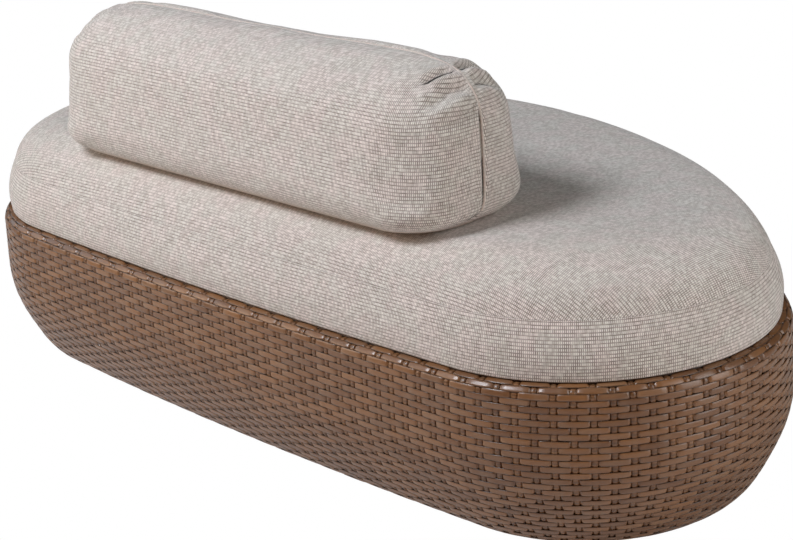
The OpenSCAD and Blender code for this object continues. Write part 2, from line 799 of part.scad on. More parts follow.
// Half rings of the bolster, sunk by depth, from its base seam to its flat top
function bolster_half_rings(depth) = concat(
    [
        for (t = [90 : -30 : 0])
            bolster_half_ring(
                bolster_foot_r - (bolster_foot_r - depth) * sin(t),
                bolster_foot_r - (bolster_foot_r - depth) * cos(t)
            )
    ],
    [
        for (t = [0 : 18 : 90])
            bolster_half_ring(
                bolster_h - bolster_top_r + (bolster_top_r - depth) * sin(t),
                bolster_top_r - (bolster_top_r - depth) * cos(t)
            )
    ]
);

// Line of the top seam over the flat top, moved towards the sitter in its middle
function bolster_seam_row(depth, shift) = [
    for (p = bolster_half_ring(bolster_h - depth, bolster_top_r))
        let (x = (p[1] == 0 ? seam_reach : seam_turn) * p[0], u = x / bolster_half_len)
        [x, shift * (1 - u * u), p[2]]
];

// One half of the bolster cover; side is 1 for the front and -1 for the back
module bolster_half(side) {
    function placed(rows) = [
        for (row = rows)
            [for (p = row) [p[0] - bolster_left, bolster_y + side * (p[1] + seam_slit / 2), bolster_z + p[2]]]
    ];
    shift = side * bolster_seam_shift;
    outer = placed(concat(bolster_half_rings(0), [bolster_seam_row(0, shift)]));
    inner = placed(concat(bolster_half_rings(cover_t), [bolster_seam_row(cover_t, shift)]));
    if (side > 0) sheet(turned(outer), turned(inner));
    else sheet(outer, inner);
}
function turned(rows) = [for (i = [len(rows) - 1 : -1 : 0]) rows[i]];

// Whole ring of the bolster, placed
function bolster_ring(z, inset) =
    let (half = bolster_half_ring(z, inset))
    [
        for (p = concat([for (i = [1 : len(half) - 2]) half[i]], [for (i = [1 : len(half) - 2]) -half[i]]))
            [p[0] - bolster_left, p[1] + bolster_y, bolster_z + z]
    ];

// Outline of the bolster's base panel, with play round it
function base_outline(play) = [
    for (p = bolster_ring(0, bolster_foot_r + play)) [p[0], p[1]]
];

// Front half of the bolster cover, on the sitter's side of the seam
module bolster_cover_front() {
    color("#dcd5ca") bolster_half(1);
}

// Back half of the bolster cover
module bolster_cover_back() {
    color("#d8d1c6") bolster_half(-1);
}

// Base panel of the bolster cover
module bolster_cover_base() {
    color("#b9b3aa")
        translate([0, 0, bolster_z]) linear_extrude(cover_t) polygon(base_outline(touch_gap));
}

// Foam core of the bolster, standing on its board
module bolster_foam() {
    foot = bolster_foot_r - bolster_core;
    top = bolster_top_r - bolster_core;
    foot_angle = asin((bolster_foot_r - bolster_under) / foot);
    color("#e8e2c8")
        loft(concat(
            [
                for (t = [90, 60, 30, 0])
                    bolster_ring(bolster_h - bolster_top_r + top * sin(t), bolster_top_r - top * cos(t))
            ],
            [
                for (t = [0, foot_angle / 2, foot_angle])
                    bolster_ring(bolster_foot_r - foot * sin(t), bolster_foot_r - foot * cos(t))
            ]
        ));
}

// Rectangle with rounded corners
module board_block(h) {
    r = board_corner_r;
    linear_extrude(h) {
        square([board_len, board_depth - 2 * r], center = true);
        square([board_len - 2 * r, board_depth], center = true);
        for (sx = [-1, 1], sy = [-1, 1])
            translate([sx * (board_len / 2 - r), sy * (board_depth / 2 - r)]) circle(r = r, $fn = tube_fn);
    }
}

// Weighted board that keeps the bolster standing
module bolster_board() {
    color("#4a4d50")
        translate([-bolster_left, bolster_y, bolster_z + cover_t + touch_gap]) board_block(board_t);
}

// Zip inside the right-hand end seam of the bolster
module bolster_zip() {
    lean = atan(bolster_end_lean / bolster_h);
    h = bolster_h - bolster_foot_r - bolster_top_r;
    x = bolster_half_len - bolster_left - cover_t - touch_gap - bolster_end_lean * bolster_foot_r / bolster_h;
    color("#8b857c")
        translate([x, bolster_y, bolster_z + bolster_foot_r])
            rotate([0, -lean, 0]) {
                translate([-zip_t, -zip_w / 2, 0]) cube([zip_t, zip_w, h]);
                translate([-zip_t - coil_d / 4, 0, coil_end])
                    cylinder(d = coil_d, h = h - 2 * coil_end, $fn = small_fn);
            }
}

woven_wall();
rim_border();
foot_lap();
top_rail();
foot_ring();
belly_hoop();
lower_hoop();
for (i = [1 : rib_count]) frame_rib(i);
for (i = [1 : 3]) cross_brace(i);
for (i = [1 : 3]) bearer_post(i);
for (i = [1 : 4]) deck_ledge(i);
deck_bearer();
deck_screws();
for (i = [1 : slat_count]) deck_slat(i);
for (i = [1 : glide_count]) glide(i);
glide_screws();
seat_foam();
seat_cover_top();
seat_cover_band();
seat_cover_base();
seat_zip();
bolster_foam();
bolster_board();
bolster_cover_front();
bolster_cover_back();
bolster_cover_base();
bolster_zip();
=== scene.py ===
"""Outdoor woven sofa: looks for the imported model.

The woven tub with its wrapped border, the seat cushion and the bolster are built here strand by strand and panel by
panel. The tubes, ribs, slats, glides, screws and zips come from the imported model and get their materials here.
Lengths are in millimetres and become metres when a mesh is made. Sizes of materials and lights are in metres.
"""
import json
import logging
import math
from dataclasses import dataclass
from enum import Enum

import bmesh
import bpy
import numpy as np
from mathutils import Matrix, Vector
from mathutils.bvhtree import BVHTree


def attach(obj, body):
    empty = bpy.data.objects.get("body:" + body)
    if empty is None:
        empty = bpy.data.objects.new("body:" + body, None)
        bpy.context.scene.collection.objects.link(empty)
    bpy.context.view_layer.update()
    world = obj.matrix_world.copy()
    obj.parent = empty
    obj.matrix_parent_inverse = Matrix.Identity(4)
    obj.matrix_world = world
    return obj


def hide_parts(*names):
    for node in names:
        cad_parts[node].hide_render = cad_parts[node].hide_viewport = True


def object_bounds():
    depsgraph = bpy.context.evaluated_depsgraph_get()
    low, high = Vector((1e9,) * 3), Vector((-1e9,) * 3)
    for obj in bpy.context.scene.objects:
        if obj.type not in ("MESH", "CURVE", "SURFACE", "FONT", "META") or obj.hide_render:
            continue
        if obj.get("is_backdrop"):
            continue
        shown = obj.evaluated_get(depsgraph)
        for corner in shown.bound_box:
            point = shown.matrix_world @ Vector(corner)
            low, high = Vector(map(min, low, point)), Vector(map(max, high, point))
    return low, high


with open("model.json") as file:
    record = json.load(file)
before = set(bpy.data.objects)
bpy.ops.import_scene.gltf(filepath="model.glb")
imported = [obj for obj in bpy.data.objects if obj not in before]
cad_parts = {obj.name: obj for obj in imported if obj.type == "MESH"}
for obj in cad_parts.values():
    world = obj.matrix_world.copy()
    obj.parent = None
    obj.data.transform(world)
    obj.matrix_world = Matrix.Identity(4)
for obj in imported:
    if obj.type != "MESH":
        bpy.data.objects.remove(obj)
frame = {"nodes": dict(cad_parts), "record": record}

logging.basicConfig(level=logging.INFO, format="%(levelname)s %(message)s")
LOG = logging.getLogger("sofa")
CAD_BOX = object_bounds()
MM = 0.001
Point = tuple[float, float, float]
Strand = tuple[np.ndarray, np.ndarray, np.ndarray, np.ndarray]


class Body(Enum):
    """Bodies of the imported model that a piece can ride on."""

    BASE = "base"
    SEAT = "seat_cushion"
    BOLSTER = "bolster"


# ---------------------------------------------------------------- plan


@dataclass
class Plan:
    """Closed plan of four tangent arcs, walked by its running length, that the tub and the seat follow."""

    half_len: float = 780.0
    end_r: float = 293.0
    front_bow: float = 200.0
    back_bow: float = 14.0

    def __post_init__(self) -> None:
        """Works out the arcs: each long side's bow gives the radius that is tangent to both ends."""
        end_r = self.end_r
        end_x = self.half_len - end_r
        front_depth, back_depth = end_r + self.front_bow, end_r + self.back_bow
        front_r = (end_x**2 + front_depth**2 - end_r**2) / (2 * self.front_bow)
        back_r = (end_x**2 + back_depth**2 - end_r**2) / (2 * self.back_bow)
        front_k, back_k = front_r - front_depth, back_r - back_depth
        front_turn, back_turn = math.atan2(front_k, end_x), math.atan2(back_k, end_x)
        self.end_x, self.y = end_x, (back_depth - front_depth) / 2
        self.arcs = np.array([
            [end_x, self.y, end_r, -back_turn, front_turn],
            [0.0, self.y - front_k, front_r, front_turn, math.pi - front_turn],
            [-end_x, self.y, end_r, math.pi - front_turn, math.pi + back_turn],
            [0.0, self.y + back_k, back_r, math.pi + back_turn, 2 * math.pi - back_turn],
        ])
        self.runs = self.arcs[:, 2] * (self.arcs[:, 4] - self.arcs[:, 3])
        self.starts = np.concatenate([[0.0], np.cumsum(self.runs)[:-1]])
        self.total = float(self.runs.sum())

    def at(self, s: np.ndarray) -> tuple[np.ndarray, np.ndarray, np.ndarray, np.ndarray]:
        """Finds places along the plan: the arc that a length falls on, and its angle there.

        Args:
            s: running lengths.

        Returns:
            The arc centres' x and y, the arc radii and the angles.
        """
        s = np.mod(s, self.total)
        k = np.clip(np.searchsorted(self.starts, s, side="right") - 1, 0, 3)
        arc = self.arcs[k]
        return arc[..., 0], arc[..., 1], arc[..., 2], arc[..., 3] + (s - self.starts[k]) / arc[..., 2]

    def point(self, s: np.ndarray, off: np.ndarray) -> tuple[np.ndarray, np.ndarray]:
        """Points of the plan moved along its normal: centre + (radius + offset) * (cos, sin).

        Args:
            s: running lengths.
            off: offsets, positive outwards.

        Returns:
            x and y of the points.
        """
        cx, cy, r, a = self.at(s)
        return cx + (r + off) * np.cos(a), cy + (r + off) * np.sin(a)


PLAN = Plan()


# ---------------------------------------------------------------- mesh helpers


def make_object(name: str, verts: np.ndarray, faces: np.ndarray) -> bpy.types.Object:
    """Makes a smooth mesh object at the origin.

    Args:
        name: the piece's name.
        verts: points, n by 3.
        faces: vertex numbers, m by 4.

    Returns:
        The linked object.
    """
    mesh = bpy.data.meshes.new(name)
    count, per = faces.shape
    mesh.vertices.add(len(verts))
    mesh.vertices.foreach_set("co", (verts * MM).astype(np.float32).ravel())
    mesh.loops.add(count * per)
    mesh.loops.foreach_set("vertex_index", faces.astype(np.int32).ravel())
    mesh.polygons.add(count)
    mesh.polygons.foreach_set("loop_start", np.arange(0, count * per, per, dtype=np.int32))
    mesh.polygons.foreach_set("use_smooth", np.full(count, True))
    mesh.update(calc_edges=True)
    mesh.validate()
    obj = bpy.data.objects.new(name, mesh)
    bpy.context.scene.collection.objects.link(obj)
    return obj


def set_uv(obj: bpy.types.Object, name: str, uv: np.ndarray) -> None:
    """Gives a mesh a UV map, in metres.

    Args:
        obj: the mesh object.
        name: the map's name.
        uv: one pair in millimetres for each face corner.
    """
    layer = obj.data.uv_layers.new(name=name)
    layer.data.foreach_set("uv", (uv.reshape(-1, 2) * MM).astype(np.float32).ravel())


def set_float(obj: bpy.types.Object, name: str, values: np.ndarray) -> None:
    """Gives a mesh one number for each vertex.

    Args:
        obj: the mesh object.
        name: the attribute's name.
        values: one number for each vertex.
    """
    attr = obj.data.attributes.new(name, "FLOAT", "POINT")
    attr.data.foreach_set("value", values.astype(np.float32).ravel())


def grid_faces(rows: int, cols: int, wrap_rows: bool, wrap_cols: bool) -> np.ndarray:
    """Quads of a grid of vertices numbered row by row.

    Args:
        rows: number of rows.
        cols: number of vertices in a row.
        wrap_rows: whether the last row joins the first.
        wrap_cols: whether the last vertex of a row joins the first.

    Returns:
        Vertex numbers, n by 4.
    """
    i = np.arange(rows if wrap_rows else rows - 1)[:, None]
    j = np.arange(cols if wrap_cols else cols - 1)[None, :]
    i2, j2 = (i + 1) % rows, (j + 1) % cols
    quad = np.stack([i * cols + j, i * cols + j2, i2 * cols + j2, i2 * cols + j], axis=-1)
    return quad.reshape(-1, 4)


def smooth_step(x: np.ndarray | float, lo: float, hi: float) -> np.ndarray:
    """Smooth rise from 0 at lo to 1 at hi: t * t * (3 - 2 t).

    Args:
        x: where to read it.
        lo: where the rise starts.
        hi: where it ends.

    Returns:
        Values from 0 to 1.
    """
    t = np.clip((x - lo) / (hi - lo), 0, 1)
    return t * t * (3 - 2 * t)


def unit(vectors: np.ndarray, least: float = 0.0) -> np.ndarray:
    """Vectors of length 1, or shorter where they are shorter than least."""
    return vectors / np.maximum(np.linalg.norm(vectors, axis=1, keepdims=True), least)


def run_along(points: np.ndarray) -> np.ndarray:
    """Lengths along a line of points, from 0."""
    return np.concatenate([[0.0], np.cumsum(np.linalg.norm(np.diff(points, axis=0), axis=1))])


def vertices_of(obj: bpy.types.Object) -> np.ndarray:
    """Reads a mesh's vertices.

    Args:
        obj: the mesh object.

    Returns:
        Points in millimetres, n by 3.
    """
    co = np.empty(len(obj.data.vertices) * 3, dtype=np.float32)
    obj.data.vertices.foreach_get("co", co)
    return co.reshape(-1, 3).astype(float) / MM


def write_vertices(obj: bpy.types.Object, verts: np.ndarray) -> None:
    """Writes a mesh's vertices, given in millimetres."""
    obj.data.vertices.foreach_set("co", (verts * MM).astype(np.float32).ravel())
    obj.data.update()


def waves(p: np.ndarray, length: float, seed: int) -> np.ndarray:
    """Smooth unevenness: the sum of seven sine waves that cross at random.

    Args:
        p: points, n by 3.
        length: about how far apart its rises lie.
        seed: picks the waves.

    Returns:
        Values from about -1 to 1.
    """
    rng = np.random.default_rng(seed)
    total = np.zeros(len(p))
    for _ in range(7):
        d = rng.normal(size=3)
        d /= np.linalg.norm(d)
        total += np.sin(p @ d * (2 * math.pi / (length * rng.uniform(0.7, 1.5))) + rng.uniform(0, 2 * math.pi))
    return total / 4


def close_middle(obj: bpy.types.Object) -> None:
    """Joins the open edges of a cover where they meet along its middle line, closer than 0.6 mm.

    Args:
        obj: the cover.
    """
    mesh = bmesh.new()
    mesh.from_mesh(obj.data)
    bmesh.ops.remove_doubles(mesh, verts=[v for v in mesh.verts if v.is_boundary], dist=0.6 * MM)
    mesh.to_mesh(obj.data)
    mesh.free()
    obj.data.update()


def subdivide(obj: bpy.types.Object) -> None:
    """Applies one level of subdivision.

    Args:
        obj: the mesh object.
    """
    mod = obj.modifiers.new("smooth", "SUBSURF")
    mod.levels = mod.render_levels = 1
    got = bpy.data.meshes.new_from_object(obj.evaluated_get(bpy.context.evaluated_depsgraph_get()))
    obj.modifiers.remove(mod)
    old, obj.data = obj.data, got
    bpy.data.meshes.remove(old)


@dataclass(frozen=True)
class Inflate:
    """How a cover is blown up over its foam; cap is the most that a point may move."""

    pressure: float
    cap: float
    stiffness: float
    bending: float
    frames: int = 20

    def swell(self, obj: bpy.types.Object) -> None:
        """Lets the cover swell between its seams as cloth, then keeps the result in the mesh.

        A move of length d is kept as cap * tanh(d / cap).

        Args:
            obj: the cover, whose attribute "pinned" is 1 where it can't move and 0 where it can.
        """
        scene, mesh = bpy.context.scene, obj.data
        rest = vertices_of(obj)
        pins = np.empty(len(rest), dtype=np.float32)
        mesh.attributes["pinned"].data.foreach_get("value", pins)
        group = obj.vertex_groups.new(name="sewn")
        group.add([int(i) for i in np.nonzero(pins > 0.5)[0]], 1.0, "REPLACE")
        cloth = obj.modifiers.new("swell", "CLOTH")
        how = cloth.settings
        how.quality = 4
        how.mass = 0.4
        how.tension_stiffness = how.compression_stiffness = self.stiffness
        how.shear_stiffness = self.stiffness / 2
        how.bending_stiffness = self.bending
        how.use_pressure = True
        how.uniform_pressure_force = self.pressure
        how.vertex_group_mass = "sewn"
        how.effector_weights.gravity = 0.0
        cloth.point_cache.frame_start, cloth.point_cache.frame_end = 1, self.frames
        for number in range(1, self.frames + 1):
            scene.frame_set(number)
        moved = vertices_of(obj.evaluated_get(bpy.context.evaluated_depsgraph_get()))
        obj.modifiers.remove(cloth)
        obj.vertex_groups.remove(group)
        scene.frame_set(1)
        step = moved - rest
        size = np.linalg.norm(step, axis=1, keepdims=True)
        LOG.info("%s swells %.1f mm at most, %.1f mm on average", obj.name, size.max(), size.mean())
        write_vertices(obj, rest + unit(step, 1e-6) * (self.cap * np.tanh(size / self.cap)))


# ---------------------------------------------------------------- woven tub


OVAL = np.array([[-1.0, 0.0], [-0.88, 0.75], [-0.4, 1.0], [0.4, 1.0], [0.88, 0.75], [1.0, 0.0], [0.8, -0.9],
                 [-0.8, -0.9]])
# Painted shade around a strand's section: full at its sides and back, none on its face.
OVAL_SHADE = np.array([1.0, 0.68, 0.0, 0.0, 0.68, 1.0, 1.0, 1.0])
STAKE_RING = OVAL[[0, 2, 3, 5, 6, 7]]
HALF_STEPS = np.array([0.0, 0.12, 0.18, 0.24, 0.31, 0.62])


def join_strands(name: str, parts: list[Strand], wrap: bool) -> bpy.types.Object:
    """Joins strands of like build into one piece.

    Args:
        name: the piece's name.
        parts: vertices (steps by corners by 3), UVs, tones and shades of each strand.
        wrap: whether a strand closes on itself.

    Returns:
        The object.
    """
    all_faces, all_uv, base = [], [], 0
    for verts, uv, _, _ in parts:
        n, m = verts.shape[:2]
        faces = grid_faces(n, m, wrap, True)
        corner = uv.reshape(-1, 2)[faces]
        if wrap:
            step = faces // m
            corner[..., 0] += np.where((step == 0) & (step.max(axis=1, keepdims=True) == n - 1), PLAN.total, 0.0)
        all_faces.append(faces + base)
        all_uv.append(corner)
        base += n * m
    verts = np.concatenate([part[0].reshape(-1, 3) for part in parts])
    obj = make_object(name, verts, np.concatenate(all_faces)[:, ::-1])
    set_uv(obj, "strand", np.concatenate(all_uv)[:, ::-1])
    set_float(obj, "tone", np.concatenate([part[2].ravel() for part in parts]))
    set_float(obj, "shade", np.concatenate([part[3].ravel() for part in parts]))
    return obj


@dataclass
class WovenTub:
    """Woven wall and wrapped border: strands laid row by row over and under upright stakes.

    A run is a length down the wall from where the border meets it; it is negative on the border.
    """

    stakes: int = 150
    rows: int = 34
    border_rows: int = 6
    wall_pieces: int = 4
    border_w: float = 19.0
    border_h: float = 18.2
    border_off: float = -11.5
    border_z: float = 271.5
    border_reach: float = 18.6
    slope: float = 0.03
    belly_z: float = 190.0
    belly_out: float = 10.0
    turn_r: float = 192.0
    turn_end: float = math.radians(72)
    swell: float = 10.0
    swell_at: float = math.radians(50)
    swell_above: float = math.radians(13.5)
    swell_below: float = math.radians(8)
    strand_half_w: float = 4.9
    strand_half_t: float = 1.05
    stake_half_w: float = 4.8
    stake_half_t: float = 1.2
    over_depth: float = 1.15
    under_depth: float = 4.0
    stake_out_depth: float = 1.75
    stake_in_depth: float = 3.5
    bar_bow: float = 0.35
    uneven: float = 0.22
    stake_uneven: float = 0.25
    low_wider: float = 0.14
    low_thicker: float = 0.6
    border_wider: float = 1.06

    def __post_init__(self) -> None:
        """Works out the pitches of the weave."""
        self.straight = self.border_z - self.belly_z
        self.row = (self.straight + self.turn_r * self.turn_end) / self.rows
        self.stake = PLAN.total / self.stakes

    def point(self, run: np.ndarray) -> tuple[np.ndarray, np.ndarray]:
        """Outside of the wall: part of an ellipse over the rim, a leaning line, then an arc with a bell-shaped swell.

        Args:
            run: places down the wall.

        Returns:
            Offset and height of the points.
        """
        rim = np.clip(-run, 0, None) / self.border_reach
        turn = np.clip(run - self.straight, 0, None) / self.turn_r
        flat = np.clip(run, 0, self.straight)
        top_off = self.belly_out - self.slope * self.straight
        swell_w = np.where(turn < self.swell_at, self.swell_above, self.swell_below)
        reach = self.turn_r + self.swell * np.exp(-(((turn - self.swell_at) / swell_w) ** 2))
        off = np.where(run < 0, self.border_off + self.border_w * np.cos(rim), top_off + self.slope * flat)
        z = np.where(run < 0, self.border_z + self.border_h * np.sin(rim), self.border_z - flat)
        low = run > self.straight
        off = np.where(low, self.belly_out - self.turn_r + reach * np.cos(turn), off)
        return off, np.where(low, self.belly_z - reach * np.sin(turn), z)

    def section(self, run: np.ndarray) -> tuple[np.ndarray, np.ndarray, np.ndarray, np.ndarray, np.ndarray]:
        """Wall's outside with its outward direction, from points half a millimetre either way.

        Args:
            run: places down the wall.

        Returns:
            Offset and height of the points, offset and height parts of the normal, and how far the run is stretched.
        """
        off, z = self.point(run)
        off_a, z_a = self.point(run - 0.5)
        off_b, z_b = self.point(run + 0.5)
        size = np.hypot(off_b - off_a, z_b - z_a)
        return off, z, -(z_b - z_a) / size, (off_b - off_a) / size, size

    def steps(self, row: int) -> np.ndarray:
        """Places along a row, in stakes, closer together where the strand dives behind a stake.

        Args:
            row: the row's number.

        Returns:
            Places from 0 up to the number of stakes.
        """
        k = np.arange(self.stakes)[:, None]
        fall = np.concatenate([[0.0], 1 - HALF_STEPS[:0:-1]])
        return (k + np.where((k + row) % 2 == 1, HALF_STEPS, fall)).ravel()

    def strand(self, row: int, rng: np.random.Generator) -> Strand:
        """One strand laid all round the wall: an oval carried along the plan, over one stake and under the next.

        The lower rows are wider and thicker, so that they close the wall where it turns in under the sofa.

        Args:
            row: the row's number, negative on the border.
            rng: source of the small differences between bars.

        Returns:
            Vertices (steps by 8 by 3), UVs (steps by 8 by 2), and for each vertex a tone and the painted shade
            that its neighbours cast on it.
        """
        u = self.steps(row)
        from_under = (u + row + 1) % 2
        from_under = np.minimum(from_under, 2 - from_under)
        lift = smooth_step(from_under, 0.14, 0.29)
        bar = np.floor((u + row + 1) / 2).astype(int) % (self.stakes // 2)
        jitter = rng.normal(0, self.uneven, (self.stakes // 2, 2))[bar]
        bow = self.bar_bow * (1 - (1 - from_under) ** 2)
        depth = self.under_depth + (self.over_depth - bow - self.under_depth) * lift + jitter[:, 0] * 0.4 * lift
        off, z, n_off, n_z, stretch = self.section((row + 0.5) * self.row + jitter[:, 1] * 0.8)
        pointed = 0.22 if -4 <= row <= -2 else 0.06 - 0.2 * smooth_step(row, 20, 29)
        half_w = stretch * self.strand_half_w * (1 - pointed * (1 - smooth_step(from_under, 0.1, 0.75)))
        half_w = half_w * (1 + jitter[:, 0] * 0.04) * (1 + self.low_wider * smooth_step(row, 21, 30))
        if row < 0:
            half_w = half_w * self.border_wider
        a, b = OVAL[:, 0][None, :], OVAL[:, 1][None, :]
        thicker = self.low_thicker * smooth_step(row, 20, 27)
        out = -depth[:, None] + b * self.strand_half_t + thicker * np.minimum(b, 0) * 2
        across = a * half_w[:, None]
        p_off = off[:, None] + n_off[:, None] * out + n_z[:, None] * across
        p_z = z[:, None] + n_z[:, None] * out - n_off[:, None] * across
        s = (u * self.stake)[:, None] + 0 * across
        verts = np.stack([*PLAN.point(s, p_off), p_z], axis=-1)
        uv = np.stack([s + rng.uniform(0, 4000), across + row * 40.0], axis=-1)
        tone = rng.uniform(0, 1, self.stakes // 2)[bar][:, None] + 0 * across
        # Painted shade where the strand dives under a stake.
        behind = 0.75 * (1 - smooth_step(from_under, 0.15, 0.25))
        return verts, uv, tone, np.maximum(OVAL_SHADE[None, :], behind[:, None])

    def strand_pieces(self) -> list[bpy.types.Object]:
        """Rows of strands, as one piece for the border and some for the wall.

        Returns:
            The pieces, border first.
        """
        rng = np.random.default_rng(11)
        groups = {"border_strands": range(-self.border_rows, 0)}
        edges = np.linspace(0, self.rows, self.wall_pieces + 1).astype(int)
        for k in range(self.wall_pieces):
            groups[f"wall_strands_{k + 1}"] = range(edges[k], edges[k + 1])
        return [join_strands(name, [self.strand(row, rng) for row in rows], True) for name, rows in groups.items()]

    def stake_piece(self) -> bpy.types.Object:
        """Upright stakes, each in front of every second strand: depth is the middle one + a cosine of the row.

        Returns:
            The piece.
        """
        rng = np.random.default_rng(5)
        row_at = np.arange(-self.border_rows * 2, self.rows * 2 + 1) / 2
        off, z, n_off, n_z, _ = self.section(row_at * self.row)
        mid = (self.stake_out_depth + self.stake_in_depth) / 2
        swing = (self.stake_in_depth - self.stake_out_depth) / 2
        parts = []
        for k in range(self.stakes):
            wave = np.cos(np.pi * (row_at - 0.5 + k))
            out = -(mid + swing * wave)[:, None] + STAKE_RING[:, 1][None, :] * self.stake_half_t
            side = STAKE_RING[:, 0][None, :] * self.stake_half_w + rng.normal(0, self.stake_uneven) + 0 * out
            p_off = off[:, None] + n_off[:, None] * out
            p_z = z[:, None] + n_z[:, None] * out
            verts = np.stack([*PLAN.point(k * self.stake + side, p_off), p_z], axis=-1)
            uv = np.stack([row_at[:, None] * self.row + k * 531.0 + 0 * out, side], axis=-1)
            tone = np.full(out.shape, rng.uniform(0, 1))
            # Painted shade on the stake where it runs deeper, under a strand.
            shade = 0.7 * smooth_step(-wave, 0.0, 1.0)[:, None] + 0 * out
            parts.append((verts[:, ::-1], uv[:, ::-1], tone, shade))
        return join_strands("wall_stakes", parts, False)

    def build(self, strand: bpy.types.Material) -> None:
        """Builds and dresses the tub.

        Args:
            strand: material of the resin strands.
        """
        pieces = self.strand_pieces()
        stakes = self.stake_piece()
        for piece in [*pieces, stakes]:
            give(piece, strand)
            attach(piece, Body.BASE.value)
        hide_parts("rim_border")
        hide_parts("woven_wall")


# ---------------------------------------------------------------- seat cushion


@dataclass
class SeatCushion:
    """Seat cushion: a crowned top panel sewn to a side band. Names in _in are offsets in from the plan."""

    bottom_z: float = 291.6
    foot: tuple[tuple[float, float], ...] = ((-21.0, 291.6), (-15.0, 290.8), (-11.0, 290.0), (-8.6, 290.9))
    foot_in: float = 7.5
    foot_z: float = 293.0
    seam_z: float = 374.3
    seam_in: float = 22.2
    bulge: float = 7.5
    flat_in: float = 116.0
    crown_r: float = 107.5
    top_z: float = 437.0
    under_bolster_z: float = 437.2
    highest_z: float = 440.0
    columns: tuple[int, ...] = (54, 108, 54, 108)
    mid_reach: float = 400.0
    mid_y: float = -8.0
    under_steps: tuple[float, ...] = (1.0, 0.75, 0.5, 0.25, 0.06)
    top_steps: tuple[float, ...] = (0.09, 0.18, 0.28, 0.39, 0.5, 0.61, 0.71, 0.8, 0.88, 0.94, 0.985, 1.0)
    sim: Inflate = Inflate(pressure=2.5, cap=2.0, stiffness=30.0, bending=4.0)

    def section(self) -> tuple[np.ndarray, np.ndarray, int]:
        """Section from the edge of the flat underside to the edge of the flat top.

        The band is a line plus a half sine; the crown is an arc that starts 4 mm in at the seam.

        Returns:
            Offsets and heights (n by 2), arc lengths and the number of the seam's row.
        """
        pts = list(self.foot)
        for v in np.linspace(0, 1, 12):
            off = self.bulge * math.sin(math.pi * v) - v * self.seam_in - (1 - v) * self.foot_in
            pts.append((off, self.foot_z + v * (self.seam_z - self.foot_z)))
        seam = len(pts) - 1
        crown_z = self.top_z - self.crown_r
        start = math.asin((self.seam_z - crown_z) / self.crown_r)
        for v in np.linspace(0, 1, 19)[1:]:
            a = start + v * (math.pi / 2 - start)
            off = self.crown_r * math.cos(a) - self.flat_in - 4 * (1 - v) ** 6
            pts.append((off, crown_z + self.crown_r * math.sin(a)))
        return np.array(pts), run_along(np.array(pts)), seam

    def rings(self, runs: np.ndarray, pts: np.ndarray, arc: np.ndarray) -> tuple[np.ndarray, np.ndarray]:
        """Rings from the middle of the underside, up the section and in to the middle of the top.

        A ring of the flat underside or top lies a share t of the way from the section's end to the middle line.

        Args:
            runs: running lengths of the columns.
            pts: the section.
            arc: its arc lengths.

        Returns:
            The points and their places on the top panel laid flat, both n for each ring.
        """
        share = np.concatenate([np.arange(c) / c for c in self.columns])
        side = np.repeat(np.arange(4), self.columns)
        far = self.mid_reach
        mid_x = np.select([side == 0, side == 1, side == 2], [far, far - 2 * far * share, -far], 2 * far * share - far)
        mid = np.stack([mid_x, np.full(len(runs), self.mid_y)], axis=-1)
        first, last = (np.stack(PLAN.point(runs, off), axis=-1) for off in pts[[0, -1], 0])
        under = [first + (mid - first) * t for t in self.under_steps]
        top = [last + (mid - last) * t for t in self.top_steps]
        sides = [np.stack(PLAN.point(runs, off), axis=-1) for off in pts[:, 0]]
        angle = PLAN.at(runs)[3]
        fan = np.stack([np.cos(angle), np.sin(angle)], axis=-1)
        flat_edge = np.stack(PLAN.point(runs, -self.flat_in), axis=-1)
        spread = [flat_edge + (arc[-1] - length) * fan for length in arc]
        heights = np.concatenate([np.full(len(under), self.bottom_z), pts[:, 1], np.full(len(top), pts[-1, 1])])
        places = np.concatenate([*under, *sides, *top])
        return np.column_stack([places, np.repeat(heights, len(runs))]), np.concatenate([*under, *spread, *top])

    def cover(self) -> bpy.types.Object:
        """Makes the cover: the section carried round the plan, padded, then made a little uneven.

        Returns:
            The piece.
        """
        runs = np.concatenate([PLAN.starts[k] + PLAN.runs[k] * np.arange(c) / c for k, c in enumerate(self.columns)])
        pts, arc, seam = self.section()
        verts, flat = self.rings(runs, pts, arc)
        n, first, top = len(runs), len(self.under_steps), len(self.top_steps)
        faces = grid_faces(len(verts) // n, n, False, True)
        row_of, column = faces[:, 0] // n, faces % n
        corner = flat[faces]
        band = (row_of >= first) & (row_of < first + seam)
        length = np.concatenate([np.zeros(n * first), np.repeat(arc, n), np.full(n * top, arc[-1])])
        band_uv = np.stack([runs[column], length[faces]], axis=-1)
        wrap = (column == 0) & (column.max(axis=1, keepdims=True) == n - 1)
        band_uv[..., 0] += np.where(wrap, PLAN.total, 0.0)
        corner[band] = band_uv[band] + np.array([0.0, 3000.0])
        obj = make_object("seat_cushion_cover", verts, faces)
        set_uv(obj, "cloth", corner)
        row = np.arange(len(verts)) // n
        sewn = (row <= first + 1) | (row == first + seam) | (row >= len(verts) // n - 8)
        set_float(obj, "pinned", sewn.astype(float))
        from_seam = np.concatenate([np.full(n * first, -40.0), np.repeat(arc - arc[seam], n), np.full(n * top, 90.0)])
        set_float(obj, "fold", from_seam)
        # A thin line of painted shade along the seam between the top panel and the band.
        set_float(obj, "crease_shade_core", np.where(np.abs(from_seam) < 16, 0.02, 0.0))
        set_float(obj, "hem", np.zeros(len(from_seam)))
        close_middle(obj)
        self.sim.swell(obj)
        subdivide(obj)
        self.settle(obj)
        return obj

